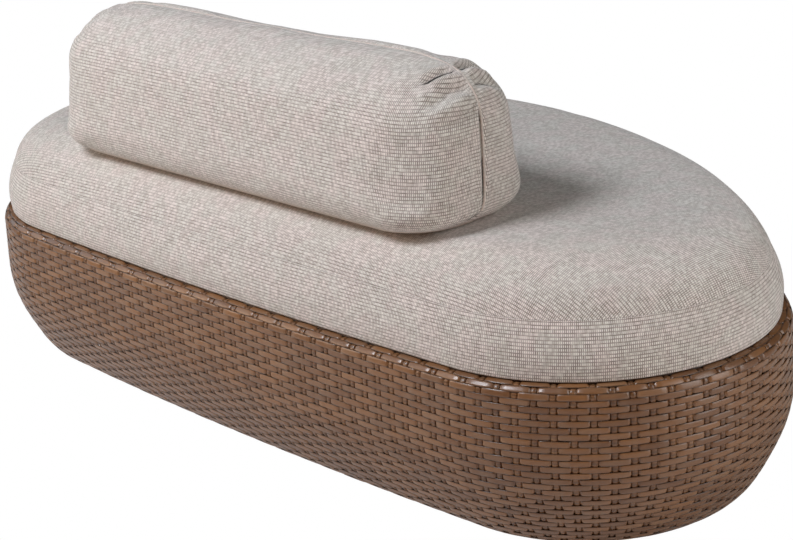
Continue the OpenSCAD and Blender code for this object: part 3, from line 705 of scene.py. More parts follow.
    def settle(self, obj: bpy.types.Object) -> None:
        """Adds slow waves to the cover and keeps it clear of the bolster above it and the tub below it.

        Args:
            obj: the cover.
        """
        v = vertices_of(obj)
        top = smooth_step(v[:, 2], 380, 436)
        v[:, 2] += top * (0.8 * waves(v, 260, 3))
        swell = (1 - top) * smooth_step(v[:, 2], 296, 312) * 0.9 * waves(v, 150, 4)
        middle = np.stack([np.clip(v[:, 0], -PLAN.end_x, PLAN.end_x), np.full(len(v), PLAN.y)], axis=-1)
        v[:, :2] += unit(v[:, :2] - middle, 1e-6) * swell[:, None]
        under_bolster = (np.abs(v[:, 0] + 16) < 455) & (np.abs(v[:, 1] + 229) < 140)
        v[:, 2] = np.minimum(v[:, 2], np.where(under_bolster, self.under_bolster_z, self.highest_z))
        v[:, 2] = np.maximum(v[:, 2], self.bottom_z)
        write_vertices(obj, v)

    def build(self, cloth: bpy.types.Material) -> None:
        """Builds and dresses the seat cushion.

        Args:
            cloth: material of its cover.
        """
        seat = self.cover()
        give(seat, cloth)
        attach(seat, Body.SEAT.value)
        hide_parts("seat_foam", "seat_cover_top", "seat_cover_band", "seat_cover_base")


# ---------------------------------------------------------------- bolster


@dataclass(frozen=True)
class Puff:
    """A place where the bolster's cover stands fuller."""

    centre: Point
    radius: float
    height: float


@dataclass(frozen=True)
class Crease:
    """A dart, gather or slit pressed into the bolster's cover at its right end and mirrored at its left."""

    path: tuple[Point, ...]
    depth: float
    half_w: float
    # core is the half width of the painted shade along the crease's line.
    core: float


PUFFS = (
    Puff((338.0, 62.0, 216.0), 42.0, 1.5),
    Puff((412.0, -30.0, 208.0), 30.0, 1.0),
    Puff((425.0, -70.0, 165.0), 34.0, 2.5),
)
DART = Crease(((396.0, 8.0, 217.0), (391.8, -10.9, 217.3), (389.8, -24.5, 215.3), (388.4, -36.4, 211.9),
               (386.6, -45.0, 208.9), (384.3, -52.8, 206.0)), 5.5, 6.0, 1.7)
UPPER_GATHER = Crease(((424.0, 11.5, 194.9), (419.6, -6.0, 198.3), (417.7, -25.3, 196.7), (417.8, -41.3, 190.8),
                       (415.4, -54.6, 185.9), (405.4, -76.3, 177.1)), 6.5, 9.0, 0.0)
LOWER_GATHER = Crease(((434.3, 7.9, 174.1), (437.6, -21.6, 164.7), (435.3, -48.9, 159.0), (425.5, -72.2, 152.0)),
                      3.5, 8.0, 0.0)
FRONT_DART = Crease(((393.6, 13.6, 217.5), (387.4, 38.5, 215.2), (382.5, 61.1, 208.8), (384.3, 72.0, 203.2),
                     (392.0, 84.0, 194.0)), 7.0, 7.0, 1.7)
SHOULDER = Crease(((417.4, 20.0, 199.9), (414.9, 41.1, 196.8), (413.4, 61.1, 189.4), (414.0, 80.0, 180.0)),
                  7.0, 8.0, 0.8)
SLIT = Crease(((437.7, 9.9, 172.0), (439.9, 9.8, 142.4), (441.5, 9.2, 117.8), (443.2, 7.2, 89.7), (444.4, 5.3, 61.1),
               (444.1, 2.3, 34.3), (439.0, -3.7, 12.0)), 3.0, 4.0, 1.5)
FOOT_FOLD = Crease(((438.0, -2.0, 20.0), (434.0, -12.0, 13.0), (430.0, -24.0, 9.0), (420.0, -44.0, 7.0)), 2.0, 5.0, 1.2)
CREASES = (DART, UPPER_GATHER, LOWER_GATHER, FRONT_DART, SHOULDER, SLIT, FOOT_FOLD)
MIRROR = np.array([-1.0, 1.0])
RIDGE = np.array([[-2.1, -0.6], [-1.8, 0.5], [-0.7, 1.1], [0.7, 1.1], [1.8, 0.5], [2.1, -0.6]])


@dataclass
class Bolster:
    """Bolster: two halves sewn along the top and down both ends, over a flat base, in a place of its own."""

    left: float = 16.0
    back: float = 136.0
    foot_z: float = 437.8
    height: float = 226.6
    half_len: float = 447.0
    lean: float = 10.6
    half_foot: float = 131.0
    half_top: float = 98.6
    corner_r: float = 79.0
    top_r: float = 77.0
    foot_r: float = 41.0
    seam_shift: float = 16.0
    top_lean: float = 5.8
    seam_short: float = 6.0
    base_in: float = 110.0
    end_steps: int = 10
    corner_steps: int = 26
    side_steps: int = 90
    sim: Inflate = Inflate(pressure=4.0, cap=5.0, stiffness=20.0, bending=2.0)

    def __post_init__(self) -> None:
        """Works out where the bolster stands on the seat."""
        self.place = np.array([-self.left, PLAN.y - self.back, self.foot_z])

    def ring(self, z: float, inset: float) -> np.ndarray:
        """One outline: a rounded rectangle that narrows and leans with height, from its right seam round the front.

        Args:
            z: its height.
            inset: how far it is drawn in.

        Returns:
            Points, n by 3.
        """
        k = z / self.height
        a = self.half_len - self.lean * k - inset
        b = self.half_foot - (self.half_foot - self.half_top) * k - inset
        c = min(self.corner_r, b - 2)
        t = np.linspace(0, math.pi / 2, self.corner_steps + 1)
        right = np.stack([np.full(self.end_steps, a), np.linspace(0, b - c, self.end_steps, endpoint=False)], axis=-1)
        turn = np.stack([a - c + c * np.cos(t), b - c + c * np.sin(t)], axis=-1)
        along = np.linspace(a - c, c - a, self.side_steps + 1)[1:-1]
        front = np.stack([along, np.full(len(along), b)], axis=-1)
        half = np.concatenate([right, turn, front, turn[::-1] * MIRROR, right[::-1] * MIRROR])
        whole = np.concatenate([half, half[-2:0:-1] * -MIRROR])
        return np.column_stack([whole[:, 0], whole[:, 1] + self.top_lean * k, np.full(len(whole), z)])

    def rings(self) -> tuple[list[np.ndarray], np.ndarray]:
        """Rings from the middle of the base to the top seam: quarter circles at foot and top, a line between.

        Returns:
            The rings and their lengths up the section.
        """
        foot_r, top_r, high = self.foot_r, self.top_r, self.height - self.top_r
        base = self.ring(0, foot_r)
        n = len(base)
        seam_x = np.linspace(1, -1, (n + 2) // 2)
        whole_x = np.concatenate([seam_x, seam_x[-2:0:-1]])
        inner = np.column_stack([whole_x * (self.half_len - self.base_in), np.zeros(n), np.zeros(n)])
        rings = [(base + (inner - base) * t, -foot_r * t * 2) for t in (1.0, 0.7, 0.4, 0.12)]
        for t in np.linspace(math.pi / 2, 0, 11):
            ring = self.ring(foot_r * (1 - math.sin(t)), foot_r * (1 - math.cos(t)))
            rings.append((ring, foot_r * (math.pi / 2 - t)))
        start = rings[-1][1]
        rings += [(self.ring(z, 0), start + z - foot_r) for z in np.linspace(foot_r, high, 17)[1:]]
        start = rings[-1][1]
        for t in np.linspace(0, math.pi / 2, 23)[1:]:
            rings.append((self.ring(high + top_r * math.sin(t), top_r * (1 - math.cos(t))), start + top_r * t))
        last, start = rings[-1]
        x = whole_x * (last[:, 0].max() - self.seam_short)
        y = self.seam_shift * (1 - (x / self.half_len) ** 2) + self.top_lean
        seam = np.column_stack([x, y, np.full(n, self.height)])
        rings += [(last + (seam - last) * t, start + 20 * t) for t in (0.3, 0.6, 0.85, 1.0)]
        return [ring for ring, _ in rings], np.array([length for _, length in rings])

    def flat_places(self, rings: list[np.ndarray], arc: np.ndarray, faces: np.ndarray) -> np.ndarray:
        """Places of the faces' corners on the two halves laid flat: length from the half's middle, and up it.

        Args:
            rings: the rings.
            arc: their lengths up the section.
            faces: vertex numbers.

        Returns:
            UVs, n by 4 by 2.
        """
        n = len(rings[0])
        half_n = (n + 2) // 2
        middle = (half_n - 1) // 2
        along = np.array([run_along(np.vstack([ring, ring[:1]])[:, :2]) for ring in rings])
        first, second = along[:, :half_n], along[:, half_n - 1:]
        first, second = first - first[:, middle, None], second - second[:, middle, None]
        column, row = faces % n, faces // n
        low = column.min(axis=1)
        on_second = ((low >= half_n - 1) | ((low == 0) & (column.max(axis=1) == n - 1)))[:, None]
        column_second = np.where(column == 0, n, column) - (half_n - 1)
        u = np.where(on_second, -second[row, np.clip(column_second, 0, half_n - 1)],
                     first[row, np.clip(column, 0, half_n - 1)])
        return np.stack([u, arc[row] + np.where(on_second, 1500.0, 5000.0)], axis=-1)

    def cover(self) -> bpy.types.Object:
        """Makes the cover: rings joined to a closed skin, padded, then puffed and creased.

        Returns:
            The piece.
        """
        rings, arc = self.rings()
        n, m = len(rings[0]), len(rings)
        verts, faces = np.concatenate(rings), grid_faces(m, n, False, True)
        obj = make_object("bolster_cover", verts, faces)
        set_uv(obj, "cloth", self.flat_places(rings, arc, faces))
        row, column = np.arange(len(verts)) // n, np.arange(len(verts)) % n
        end_seam = (column == 0) | (column == (n + 2) // 2 - 1)
        set_float(obj, "pinned", ((row <= 6) | end_seam | (row == m - 1)).astype(float))
        self.sim.swell(obj)
        close_middle(obj)
        subdivide(obj)
        p = vertices_of(obj)
        core = np.stack([np.clip(p[:, 0], -360, 360), np.zeros(len(p)), np.full(len(p), 110.0)], axis=-1)
        out = unit(p - core, 1e-6)
        p += out * (smooth_step(p[:, 2], 6, 40) * waves(p, 130, 8))[:, None]
        p = self.shift_to_seam(p)
        for puff in PUFFS:
            for side in (-1, 1):
                apart = np.linalg.norm(p - np.array(puff.centre) * [side, 1, 1], axis=1)
                p += out * (puff.height * np.exp(-(apart / puff.radius) ** 2))[:, None]
        p, fold, dark = self.press_creases(p, out)
        set_float(obj, "fold", fold)
        # Painted shade along each crease, as wide as its core.
        set_float(obj, "crease_shade_core", dark)
        set_float(obj, "hem", 1 - smooth_step(p[:, 2], 7.0, 9.5))
        p[:, 2] = np.maximum(p[:, 2], 0)
        write_vertices(obj, p + self.place)
        return obj

    def press_creases(self, p: np.ndarray, out: np.ndarray) -> tuple[np.ndarray, np.ndarray, np.ndarray]:
        """Presses the creases into the cover: a bell-shaped groove of the distance from each crease's line.

        Args:
            p: points in the bolster's own place.
            out: directions away from its middle.

        Returns:
            The pressed points, the signed distance from the nearest crease and the half width of that crease's painted
            shade.
        """
        pressed = p.copy()
        nearest, fold, core = np.full(len(p), 60.0), np.full(len(p), 60.0), np.zeros(len(p))
        for crease, side in [(c, s) for c in CREASES for s in (-1, 1)]:
            line = np.array(crease.path) * [side, 1, 1]
            start = run_along(line)
            best, signed, along = np.full(len(p), 1e9), np.zeros(len(p)), np.zeros(len(p))
            for k, length in enumerate(np.diff(start)):
                way = (line[k + 1] - line[k]) / length
                t = np.clip((p - line[k]) @ way, 0, length)
                apart = p - (line[k] + t[:, None] * way)
                flat = apart - out * np.sum(apart * out, axis=1, keepdims=True)
                d = np.hypot(np.linalg.norm(flat, axis=1), 0.4 * np.linalg.norm(apart - flat, axis=1))
                closer = d < best
                signed = np.where(closer, d * np.sign(np.sum(np.cross(way, out) * flat, axis=1)), signed)
                along = np.where(closer, (start[k] + t) / start[-1], along)
                best = np.where(closer, d, best)
            ease = smooth_step(along, 0.0, 0.12) * (1 - smooth_step(along, 0.72, 1.0))
            half_w = crease.half_w
            groove = np.exp(-(best / half_w) ** 2) - 0.45 * np.exp(-((best - 2 * half_w) / half_w) ** 2)
            pressed -= out * (crease.depth * ease * groove)[:, None]
            mine = best < nearest
            nearest = np.where(mine, best, nearest)
            fold = np.where(mine, signed, fold)
            core = np.where(mine, np.where(best < 14, crease.core * ease, 0.0), core)
        return pressed, fold, core

    def seam_side(self, p: np.ndarray) -> np.ndarray:
        """Where the long seam runs, over the top and down both ends, read between known heights.

        Args:
            p: points near the seam, in the bolster's own place.

        Returns:
            How far towards the front the seam lies there.
        """
        end = np.interp(p[:, 2], (20, 34, 61, 90, 118, 157, 200), (2, 5.5, 8.5, 10.5, 12.5, 13.5, 12.5))
        top = 12 + 10 * (1 - smooth_step(np.abs(p[:, 0]), 290, 370))
        return end + (top - end) * smooth_step(p[:, 2], 205, 222)

    def shift_to_seam(self, p: np.ndarray) -> np.ndarray:
        """Slides the cover sideways so that its seam follows its path, less with the distance from the seam.

        Args:
            p: points in the bolster's own place.

        Returns:
            The moved points.
        """
        now = self.top_lean * p[:, 2] / self.height
        now = now + self.seam_shift * (1 - (p[:, 0] / self.half_len) ** 2) * smooth_step(p[:, 2], 214, 226)
        moved = p.copy()
        moved[:, 1] += (self.seam_side(p) - now) * np.exp(-((p[:, 1] - now) / 45) ** 2)
        return moved

    def seam_path(self, cover: bpy.types.Object) -> tuple[np.ndarray, np.ndarray]:
        """Finds the seam on the cover with rays from outside: up one end, over the top and down the other.

        Args:
            cover: the bolster's cover.

        Returns:
            Points in the bolster's own place and the cover's normals there.
        """
        tree = BVHTree.FromObject(cover, bpy.context.evaluated_depsgraph_get())
        rays = [((600.0, 0.0, z), (-1.0, 0.0, 0.0)) for z in np.linspace(22, 150, 40)]
        for a in np.linspace(0, math.pi / 2, 30)[1:-1]:
            way = (-math.cos(a), 0.0, -math.sin(a))
            rays.append(((340 - 300 * way[0], 0.0, 150 - 300 * way[2]), way))
        rays += [((x, 0.0, 500.0), (0.0, 0.0, -1.0)) for x in np.linspace(340, 0, 90)]
        rays += [((-s[0], s[1], s[2]), (-d[0], d[1], d[2])) for s, d in rays[-2::-1]]
        path, normals = [], []
        for start, way in rays:
            side = 0.0
            for _ in range(3):
                at = Vector(((np.array(start) + [0, side, 0] + self.place) * MM).tolist())
                hit, normal, _, _ = tree.ray_cast(at, Vector(way))
                point = np.array(hit) / MM - self.place
                side = float(self.seam_side(point[None, :])[0])
            path.append(point)
            normals.append(np.array(normal))
        return np.array(path), np.array(normals)

    def ridge(self, cover: bpy.types.Object) -> bpy.types.Object:
        """Raised double-stitched seam over the top and down both ends: a low profile carried along the seam's path.

        Args:
            cover: the bolster's cover, which the seam lies on.

        Returns:
            The piece.
        """
        path, normals = self.seam_path(cover)
        for line in [path, normals] * 3:
            line[1:-1] = (line[:-2] + 2 * line[1:-1] + line[2:]) / 4
        way = unit(np.gradient(path, axis=0))
        across = unit(np.cross(way, normals))
        up = np.cross(across, way)
        verts = path[:, None, :] + across[:, None, :] * RIDGE[None, :, :1] + up[:, None, :] * RIDGE[None, :, 1:]
        faces = grid_faces(len(path), len(RIDGE), False, False)[:, ::-1]
        obj = make_object("bolster_seam_ridge", (verts + self.place).reshape(-1, 3), faces)
        uv = np.stack([np.repeat(run_along(path), len(RIDGE)), np.tile(run_along(RIDGE), len(path))], axis=-1)
        set_uv(obj, "cloth", uv[faces])
        return obj

    def build(self, cloth: bpy.types.Material, seam: bpy.types.Material) -> None:
        """Builds and dresses the bolster.

        Args:
            cloth: material of its cover.
            seam: material of its raised seam.
        """
        bolster = self.cover()
        give(bolster, cloth)
        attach(bolster, Body.BOLSTER.value)
        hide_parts("bolster_foam", "bolster_cover_front", "bolster_cover_back", "bolster_cover_base")
        ridge = self.ridge(bolster)
        give(ridge, seam)
        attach(ridge, Body.BOLSTER.value)


# ---------------------------------------------------------------- materials


def srgb(code: str) -> tuple[float, float, float, float]:
    """Turns a hex colour of six digits into the linear one that shaders take, with alpha 1."""
    parts = [int(code[i:i + 2], 16) / 255 for i in (0, 2, 4)]
    return tuple(p / 12.92 if p <= 0.04045 else ((p + 0.055) / 1.055) ** 2.4 for p in parts) + (1.0,)


class Shader:
    """Small builder for one material's nodes. A value is a constant or another node's output."""

    def __init__(self, name: str, roughness: float, metallic: float = 0.0) -> None:
        """Starts a material with a principled shader.

        Args:
            name: what the material is.
            roughness: its roughness.
            metallic: 1 for bare metal.
        """
        self.material = bpy.data.materials.new(name)
        self.material.use_nodes = True
        self.tree = self.material.node_tree
        self.bsdf = self.tree.nodes["Principled BSDF"]
        self.surface({"Roughness": roughness, "Metallic": metallic})

    def surface(self, values: dict[str, object]) -> None:
        """Sets the principled shader's sockets by their names."""
        for name, value in values.items():
            self.put(self.bsdf.inputs[name], value)

    def node(self, kind: str, inputs: dict[int | str, object] | None = None, **settings: object) -> bpy.types.Node:
        """Adds a node.

        Args:
            kind: the node's type.
            inputs: values of its inputs.
            settings: its properties.

        Returns:
            The node.
        """
        made = self.tree.nodes.new(kind)
        for key, setting in settings.items():
            setattr(made, key, setting)
        for key, value in (inputs or {}).items():
            self.put(made.inputs[key], value)
        return made

    def put(self, socket: bpy.types.NodeSocket, value: object) -> None:
        """Links an input to an output, or sets its constant.

        Args:
            socket: the input.
            value: what goes into it.
        """
        if isinstance(value, bpy.types.NodeSocket):
            self.tree.links.new(value, socket)
        else:
            socket.default_value = value

    def math(self, op: str, a: object, b: object = 0.0) -> bpy.types.NodeSocket:
        """One sum of two values."""
        return self.node("ShaderNodeMath", {0: a, 1: b}, operation=op).outputs[0]

    def span(self, value: object, lo: float, hi: float, to_lo: float = 0.0, to_hi: float = 1.0) -> bpy.types.NodeSocket:
        """Spreads lo to hi over to_lo to to_hi, and holds it there."""
        return self.node("ShaderNodeMapRange", dict(enumerate((value, lo, hi, to_lo, to_hi)))).outputs[0]

    def mix(self, factor: object, a: object, b: object) -> bpy.types.NodeSocket:
        """Mixes two colours, the factor being the share of the second."""
        return self.node("ShaderNodeMix", {0: factor, 6: a, 7: b}, data_type="RGBA").outputs[2]

    def noise(self, vector: object, scale: float, detail: float = 2.0) -> bpy.types.NodeSocket:
        """Smooth noise from 0 to 1, with so many rises in a metre."""
        return self.node("ShaderNodeTexNoise", {"Vector": vector, "Scale": scale, "Detail": detail}).outputs[0]

    def stretch(self, vector: object, x: float, y: float, z: float = 1.0) -> bpy.types.NodeSocket:
        """Scales a vector."""
        return self.node("ShaderNodeVectorMath", {0: vector, 1: (x, y, z)}, operation="MULTIPLY").outputs[0]

    def parts(self, vector: object) -> list[bpy.types.NodeSocket]:
        """Splits a vector into x, y and z."""
        return list(self.node("ShaderNodeSeparateXYZ", {0: vector}).outputs)

    def join(self, x: object, y: object) -> bpy.types.NodeSocket:
        """Joins two values to a vector."""
        return self.node("ShaderNodeCombineXYZ", {0: x, 1: y}).outputs[0]

    def uv(self, name: str) -> bpy.types.NodeSocket:
        """A UV map, in metres."""
        return self.node("ShaderNodeUVMap", uv_map=name).outputs[0]

    def place(self, kind: str = "Object") -> bpy.types.NodeSocket:
        """Place on the object, in metres, or its normal there."""
        return self.node("ShaderNodeTexCoord").outputs[kind]

    def attribute(self, name: str) -> bpy.types.NodeSocket:
        """A number kept on the mesh."""
        return self.node("ShaderNodeAttribute", attribute_name=name).outputs["Fac"]

    def from_middle(self, value: object) -> bpy.types.NodeSocket:
        """How far a value lies from the middle of its whole step: 0 in the middle, 1 at either end."""
        return self.math("MULTIPLY", self.math("ABSOLUTE", self.math("SUBTRACT", self.math("FRACT", value), 0.5)), 2.0)

    def bump(self, height: object, depth: float, strength: float) -> None:
        """Adds a relief from 0 to 1, of a depth in metres."""
        made = self.node("ShaderNodeBump", {"Strength": strength, "Distance": depth, "Height": height})
        self.surface({"Normal": made.outputs[0]})


@dataclass(frozen=True)
class Tweed:
    """Light tweed of the covers: short light floats between fine dark lines along and across."""

    end: float = 0.00282
    pick: float = 0.0049
    dash: float = 0.010
    yarn: tuple[str, str, str] = ("f3eae5", "eeebe4", "cfc6bd")
    line: str = "6d6157"
    hem: str = "b8a99c"
    # Colour of the painted shade in creases, darts, slits and seam lines.
    fold: str = "211b17"

    def make(self) -> bpy.types.Material:
        """Makes the material: rows fade where the cloth faces up, as painted shade that follows facing, and every
        cell's slit has a strength of its own. The rows' dark lines are part pattern and part painted shade of their
        gaps.

        Returns:
            The material.
        """
        sh = Shader("light_tweed_fabric", 0.92)
        along, up = sh.parts(sh.uv("cloth"))[:2]
        ends, picks = sh.math("MULTIPLY", along, 1 / self.end), sh.math("MULTIPLY", up, 1 / self.pick)
        row = sh.math("FLOOR", picks)
        # Painted shade that follows facing: the row lines are half as strong where the cloth faces up.
        row_shade_by_facing = sh.span(sh.parts(sh.place("Normal"))[2], 0.55, 0.9, 1.0, 0.5)
        dashes = sh.noise(sh.join(sh.math("MULTIPLY", along, 1 / self.dash), sh.math("MULTIPLY", row, 7.31)), 1.0, 1.0)
        line = sh.math("MULTIPLY", sh.span(sh.from_middle(picks), 0.5, 0.85), sh.span(dashes, 0.35, 0.6, 0.55, 1.0))
        line = sh.math("MULTIPLY", line, row_shade_by_facing)
        cell = sh.join(sh.math("FLOOR", ends), row)
        white = sh.node("ShaderNodeTexWhiteNoise", {"Vector": cell}, noise_dimensions="2D")
        chance = sh.node("ShaderNodeSeparateColor", {0: white.outputs["Color"]}).outputs[0]
        slit = sh.math("MULTIPLY", sh.span(sh.from_middle(ends), 0.2, 0.75), sh.span(chance, 0.0, 1.0, 0.45, 1.0))
        warm, cool, dull = (srgb(code) for code in self.yarn)
        yarn = sh.mix(sh.span(sh.noise(sh.place(), 28.0), 0.42, 0.58), warm, cool)
        yarn = sh.mix(sh.span(white.outputs["Value"], 0.0, 1.0, 0.0, 0.3), yarn, dull)
        dark = sh.math("MAXIMUM", sh.math("MULTIPLY", line, 0.9), sh.math("MULTIPLY", slit, 0.95))
        colour = sh.mix(dark, yarn, srgb(self.line))
        colour = sh.mix(sh.attribute("hem"), colour, srgb(self.hem))
        # Painted shade along creases, darts, slits and seams: darkest on their lines, within the half width kept on the
        # mesh.
        edge = sh.math("SUBTRACT", sh.attribute("crease_shade_core"), sh.math("ABSOLUTE", sh.attribute("fold")))
        colour = sh.mix(sh.span(edge, -0.5, 0.5, 0.0, 0.97), colour, srgb(self.fold))
        sh.surface({"Base Color": colour, "Sheen Weight": 0.2, "Sheen Roughness": 0.6, "Specular IOR Level": 0.2})
        sh.bump(sh.math("SUBTRACT", 1.0, dark), 0.0005, 0.5)
        return sh.material


@dataclass(frozen=True)
class SeamCloth:
    """Folded edge of the fabric with short stitches across."""

    stitch: float = 0.0018
    cloth: tuple[str, str] = ("e3d5cd", "dcd6ce")
    gap: str = "83766b"

    def make(self) -> bpy.types.Material:
        """Makes the material: stitches are the size of a sine along the seam.

        Returns:
            The material.
        """
        sh = Shader("stitched_seam_fabric", 0.9)
        along = sh.parts(sh.uv("cloth"))[0]
        tick = sh.math("ABSOLUTE", sh.math("SINE", sh.math("MULTIPLY", along, math.pi / self.stitch)))
        cloud = sh.noise(sh.stretch(sh.uv("cloth"), 1.0, 2.0), 60.0)
        tint = sh.mix(sh.span(cloud, 0.4, 0.6), *(srgb(code) for code in self.cloth))
        sh.surface({"Base Color": sh.mix(sh.span(tick, 0.15, 0.6), srgb(self.gap), tint), "Specular IOR Level": 0.2})
        sh.bump(tick, 0.0004, 0.6)
        return sh.material


@dataclass(frozen=True)
class Resin:
    """Flat resin strand: brown with a painted greyer sheen in places and fine lengthwise lines, with painted shade in
    its gaps.
    """

    dark: str = "58361c"
    light: str = "93673f"
    # Colour of the painted sheen: a greyish tint laid on in random patches.
    painted_sheen: str = "8a7663"
    # gap: colour of the painted shade along strand sides, where a strand dives under a stake, and on stakes where they
    # run deeper.
    gap: str = "1e120b"

    def make(self) -> bpy.types.Material:
        """Makes the material.

        Returns:
            The material.
        """
        sh = Shader("woven_resin_strand", 0.42)
        uv = sh.uv("strand")
        streak = sh.noise(sh.stretch(uv, 1.0, 12.0), 90.0, 4.0)
        sheen_noise = sh.noise(sh.stretch(uv, 1.0, 0.6), 22.0)
        tone = sh.math("ADD", sh.math("MULTIPLY", sh.attribute("tone"), 0.45), sh.math("MULTIPLY", streak, 0.55))
        colour = sh.mix(tone, srgb(self.dark), srgb(self.light))
        # Painted sheen: up to 18 % of the grey tint in random patches, standing in for reflected light.
        colour = sh.mix(sh.span(sheen_noise, 0.46, 0.60, 0.0, 0.18), colour, srgb(self.painted_sheen))
        # Painted shade from the shade attribute: strand sides, dives under stakes and the stakes' deeper stretches.
        colour = sh.mix(sh.span(sh.attribute("shade"), 0.35, 0.95, 0.0, 0.9), colour, srgb(self.gap))
        sh.surface({"Base Color": colour, "Roughness": sh.span(streak, 0.3, 0.7, 0.34, 0.5), "Specular IOR Level": 0.45,
                    "Coat Weight": 0.45, "Coat Roughness": 0.2})
        sh.bump(sh.noise(sh.stretch(uv, 1.0, 30.0), 60.0, 3.0), 0.0004, 0.5)
        return sh.material


@dataclass(frozen=True)
class Finish:
    """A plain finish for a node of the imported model; grain is rises in a metre and relief is in metres."""

    low: str
    high: str
    roughness: float
    metallic: float
    grain: float
    relief: float
    stretch: Point = (1.0, 1.0, 1.0)

    def make(self, name: str) -> bpy.types.Material:
        """Makes the material: its two colours mixed by fine and broad noise.

        Args:
            name: what it is.

        Returns:
            The material.
        """
        sh = Shader(name, self.roughness, self.metallic)
        place = sh.stretch(sh.place(), *self.stretch)
        fine, broad = sh.noise(place, self.grain, 3.0), sh.noise(place, self.grain / 40)
        blend = sh.math("ADD", sh.math("MULTIPLY", fine, 0.5), sh.math("MULTIPLY", broad, 0.5))
        rough = sh.span(broad, 0.3, 0.7, self.roughness - 0.05, self.roughness + 0.08)
        colour = sh.mix(sh.span(blend, 0.35, 0.65), srgb(self.low), srgb(self.high))
        sh.surface({"Base Color": colour, "Roughness": rough})
        sh.bump(fine, self.relief, 0.6)
        return sh.material


FINISHES = {
    "coated_aluminium_frame": Finish("4a3b31", "5a493d", 0.48, 0.0, 900.0, 0.0001),
    "plain_aluminium_slat": Finish("a4a6a8", "b7b9bb", 0.38, 1.0, 250.0, 0.00006, (6.0, 0.25, 6.0)),
    "steel_screw": Finish("a8abad", "c2c4c6", 0.3, 1.0, 500.0, 0.00005),
    "black_nylon_glide": Finish("1b1b1c", "262628", 0.55, 0.0, 700.0, 0.0001),
    "cushion_foam": Finish("d8cfae", "e6dec2", 0.9, 0.0, 600.0, 0.0006),
    "plain_base_fabric": Finish("8d857b", "a19a90", 0.9, 0.0, 1400.0, 0.0003),
    "zip_tape_and_coil": Finish("857e75", "9a938a", 0.75, 0.0, 1200.0, 0.0002, (1.0, 3.0, 1.0)),
    "weighted_board": Finish("2c2a29", "3a3836", 0.7, 0.0, 300.0, 0.0002),
}


def give(obj: bpy.types.Object, material: bpy.types.Material) -> None:
    """Puts one material on a new piece and reports the piece.

    Args:
        obj: the piece.
        material: its material.
    """
    obj.data.materials.clear()
    obj.data.materials.append(material)
    LOG.info("%s: %d faces of %s", obj.name, len(obj.data.polygons), material.name)


def dress_nodes(strand: bpy.types.Material) -> None:
    """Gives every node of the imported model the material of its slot.

    Args:
        strand: material of the strand at the foot.
    """
    made = {name: finish.make(name) for name, finish in FINISHES.items()}
    made["light_tweed_fabric"] = made["plain_base_fabric"]
    made["woven_resin_strand"] = strand
    for part in frame["record"]["subparts"]:
        obj = frame["nodes"][part["node"]]
        material = made[part["material_slot"]]
        if not obj.material_slots:
            obj.data.materials.append(material)
        for slot in obj.material_slots:
            slot.material = material


# ---------------------------------------------------------------- camera, floor and light


@dataclass(frozen=True)
class Softbox:
    """One rectangular studio light."""

    name: str
    place: Point
    aim: Point
    size: tuple[float, float]
    watts: float
    colour: str = "ffffff"

    def hang(self) -> None:
        """Adds the light to the scene, turned to what it aims at."""
        data = bpy.data.lights.new(self.name, "AREA")
        data.shape = "RECTANGLE"
        data.size, data.size_y = self.size
        data.energy = self.watts
        data.color = srgb(self.colour)[:3]
        obj = bpy.data.objects.new(self.name, data)
        place, aim = Vector(self.place), Vector(self.aim)
        obj.matrix_world = Matrix.Translation(place) @ (aim - place).to_track_quat("-Z", "Y").to_matrix().to_4x4()
        bpy.context.scene.collection.objects.link(obj)


SOFTBOXES = (
    Softbox("key", (-0.35, -2.1, 2.8), (0.05, -0.1, 0.4), (1.0, 1.0), 76.0, "f5f8ff"),
    Softbox("front", (-2.4, -2.4, 1.6), (0.0, 0.0, 0.4), (1.5, 1.5), 34.0, "ffe4cc"),
    Softbox("left", (-3.0, -0.8, 1.6), (0.0, 0.0, 0.4), (2.0, 2.0), 14.0, "aae1ff"),
    Softbox("back", (2.4, 0.45, 1.15), (0.4, 0.0, 0.45), (1.2, 2.0), 26.0),
    Softbox("near", (2.5, -1.9, 0.9), (0.5, -0.1, 0.3), (0.8, 1.2), 5.0, "ffb070"),
)


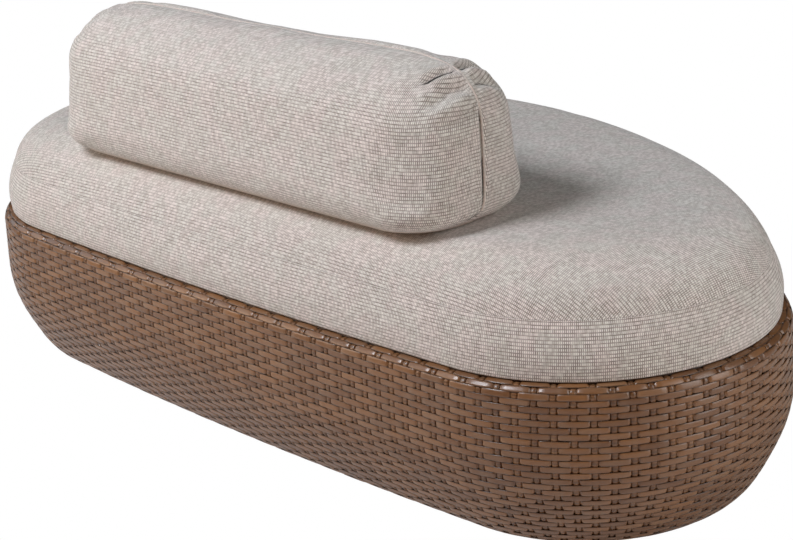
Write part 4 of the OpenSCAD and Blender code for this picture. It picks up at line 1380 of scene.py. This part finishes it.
@dataclass(frozen=True)
class Studio:
    """The photograph's camera, a pale floor and soft light. Angles are in degrees."""

    azimuth: float = 47.644
    elevation: float = 19.629
    roll: float = -3.764
    distance: float = 3271.0
    aside: float = 48.17
    above: float = 226.12
    lens: float = 88.74
    sensor: float = 36.0
    floor_half: float = 9000.0
    under_x: float = 0.655
    under_y: float = 0.291
    under_power: float = 3.3
    world_light: float = 0.02

    def camera(self) -> None:
        """Places the camera at the photograph's angle, looking past the middle of the plan."""
        az, el, roll = math.radians(self.azimuth), math.radians(self.elevation), math.radians(self.roll)
        back = Vector((math.sin(az) * math.cos(el), -math.cos(az) * math.cos(el), math.sin(el)))
        right = Vector((math.cos(az), math.sin(az), 0.0))
        up = back.cross(right)
        side = right * math.cos(roll) + up * math.sin(roll)
        top = up * math.cos(roll) - right * math.sin(roll)
        eye = back * self.distance + side * self.aside + top * self.above + Vector((0.0, PLAN.y, 0.0))
        data = bpy.data.cameras.new("camera")
        data.sensor_width = self.sensor
        data.lens = self.lens
        data.clip_start, data.clip_end = 0.1, 60.0
        camera = bpy.data.objects.new("camera", data)
        matrix = Matrix((side, top, back)).transposed().to_4x4()
        matrix.translation = eye * MM
        camera.matrix_world = matrix
        bpy.context.scene.collection.objects.link(camera)
        bpy.context.scene.camera = camera

    def floor(self) -> None:
        """Plain pale floor that looks white to the camera, except under the tub.

        Under the tub is where |x / under_x| ^ power + |y / under_y| ^ power is at most 1.
        """
        half = self.floor_half
        corners = np.array([[-half, -half, 0], [half, -half, 0], [half, half, 0], [-half, half, 0]])
        floor = make_object("floor", corners, np.array([[0, 1, 2, 3]]))
        sh = Shader("pale_floor", 0.9)
        sh.surface({"Base Color": srgb("e9e7e4")})
        white = sh.node("ShaderNodeEmission", {"Color": (1, 1, 1, 1), "Strength": 1.0})
        x, y, _ = sh.parts(sh.stretch(sh.place(), 1 / self.under_x, 1 / self.under_y))
        under = sh.math("ADD", *(sh.math("POWER", sh.math("ABSOLUTE", v), self.under_power) for v in (x, y)))
        seen = sh.node("ShaderNodeLightPath").outputs["Is Camera Ray"]
        in_sight = sh.math("MULTIPLY", seen, sh.math("GREATER_THAN", under, 1.0))
        mix = sh.node("ShaderNodeMixShader", {0: in_sight, 1: sh.bsdf.outputs[0], 2: white.outputs[0]})
        out = next(n for n in sh.tree.nodes if n.type == "OUTPUT_MATERIAL")
        sh.put(out.inputs["Surface"], mix.outputs[0])
        give(floor, sh.material)
        floor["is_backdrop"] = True

    def lights(self) -> None:
        """Soft studio light, and a surround that is white to the camera."""
        for box in SOFTBOXES:
            box.hang()
        world = bpy.data.worlds.new("studio")
        world.use_nodes = True
        bpy.context.scene.world = world
        tree = world.node_tree
        light, seen = tree.nodes["Background"], tree.nodes.new("ShaderNodeBackground")
        for background, strength in ((light, self.world_light), (seen, 1.0)):
            background.inputs["Color"].default_value = (1, 1, 1, 1)
            background.inputs["Strength"].default_value = strength
        path = tree.nodes.new("ShaderNodeLightPath")
        mix = tree.nodes.new("ShaderNodeMixShader")
        tree.links.new(path.outputs["Is Camera Ray"], mix.inputs[0])
        tree.links.new(light.outputs[0], mix.inputs[1])
        tree.links.new(seen.outputs[0], mix.inputs[2])
        tree.links.new(mix.outputs[0], tree.nodes["World Output"].inputs["Surface"])
        bpy.context.scene.view_settings.view_transform = "Standard"


# ---------------------------------------------------------------- the part


def main() -> None:
    """Builds the studio, the tub, the seat cushion and the bolster."""
    studio = Studio()
    studio.camera()
    studio.floor()
    studio.lights()
    strand = Resin().make()
    dress_nodes(strand)
    WovenTub().build(strand)
    cloth = Tweed().make()
    SeatCushion().build(cloth)
    Bolster().build(cloth, SeamCloth().make())
    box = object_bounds()
    for name, ends in (("cad", CAD_BOX), ("visual", box)):
        LOG.info("%s box %s", name, [tuple(round(v, 4) for v in c) for c in ends])


if __name__ == "__main__":
    main()
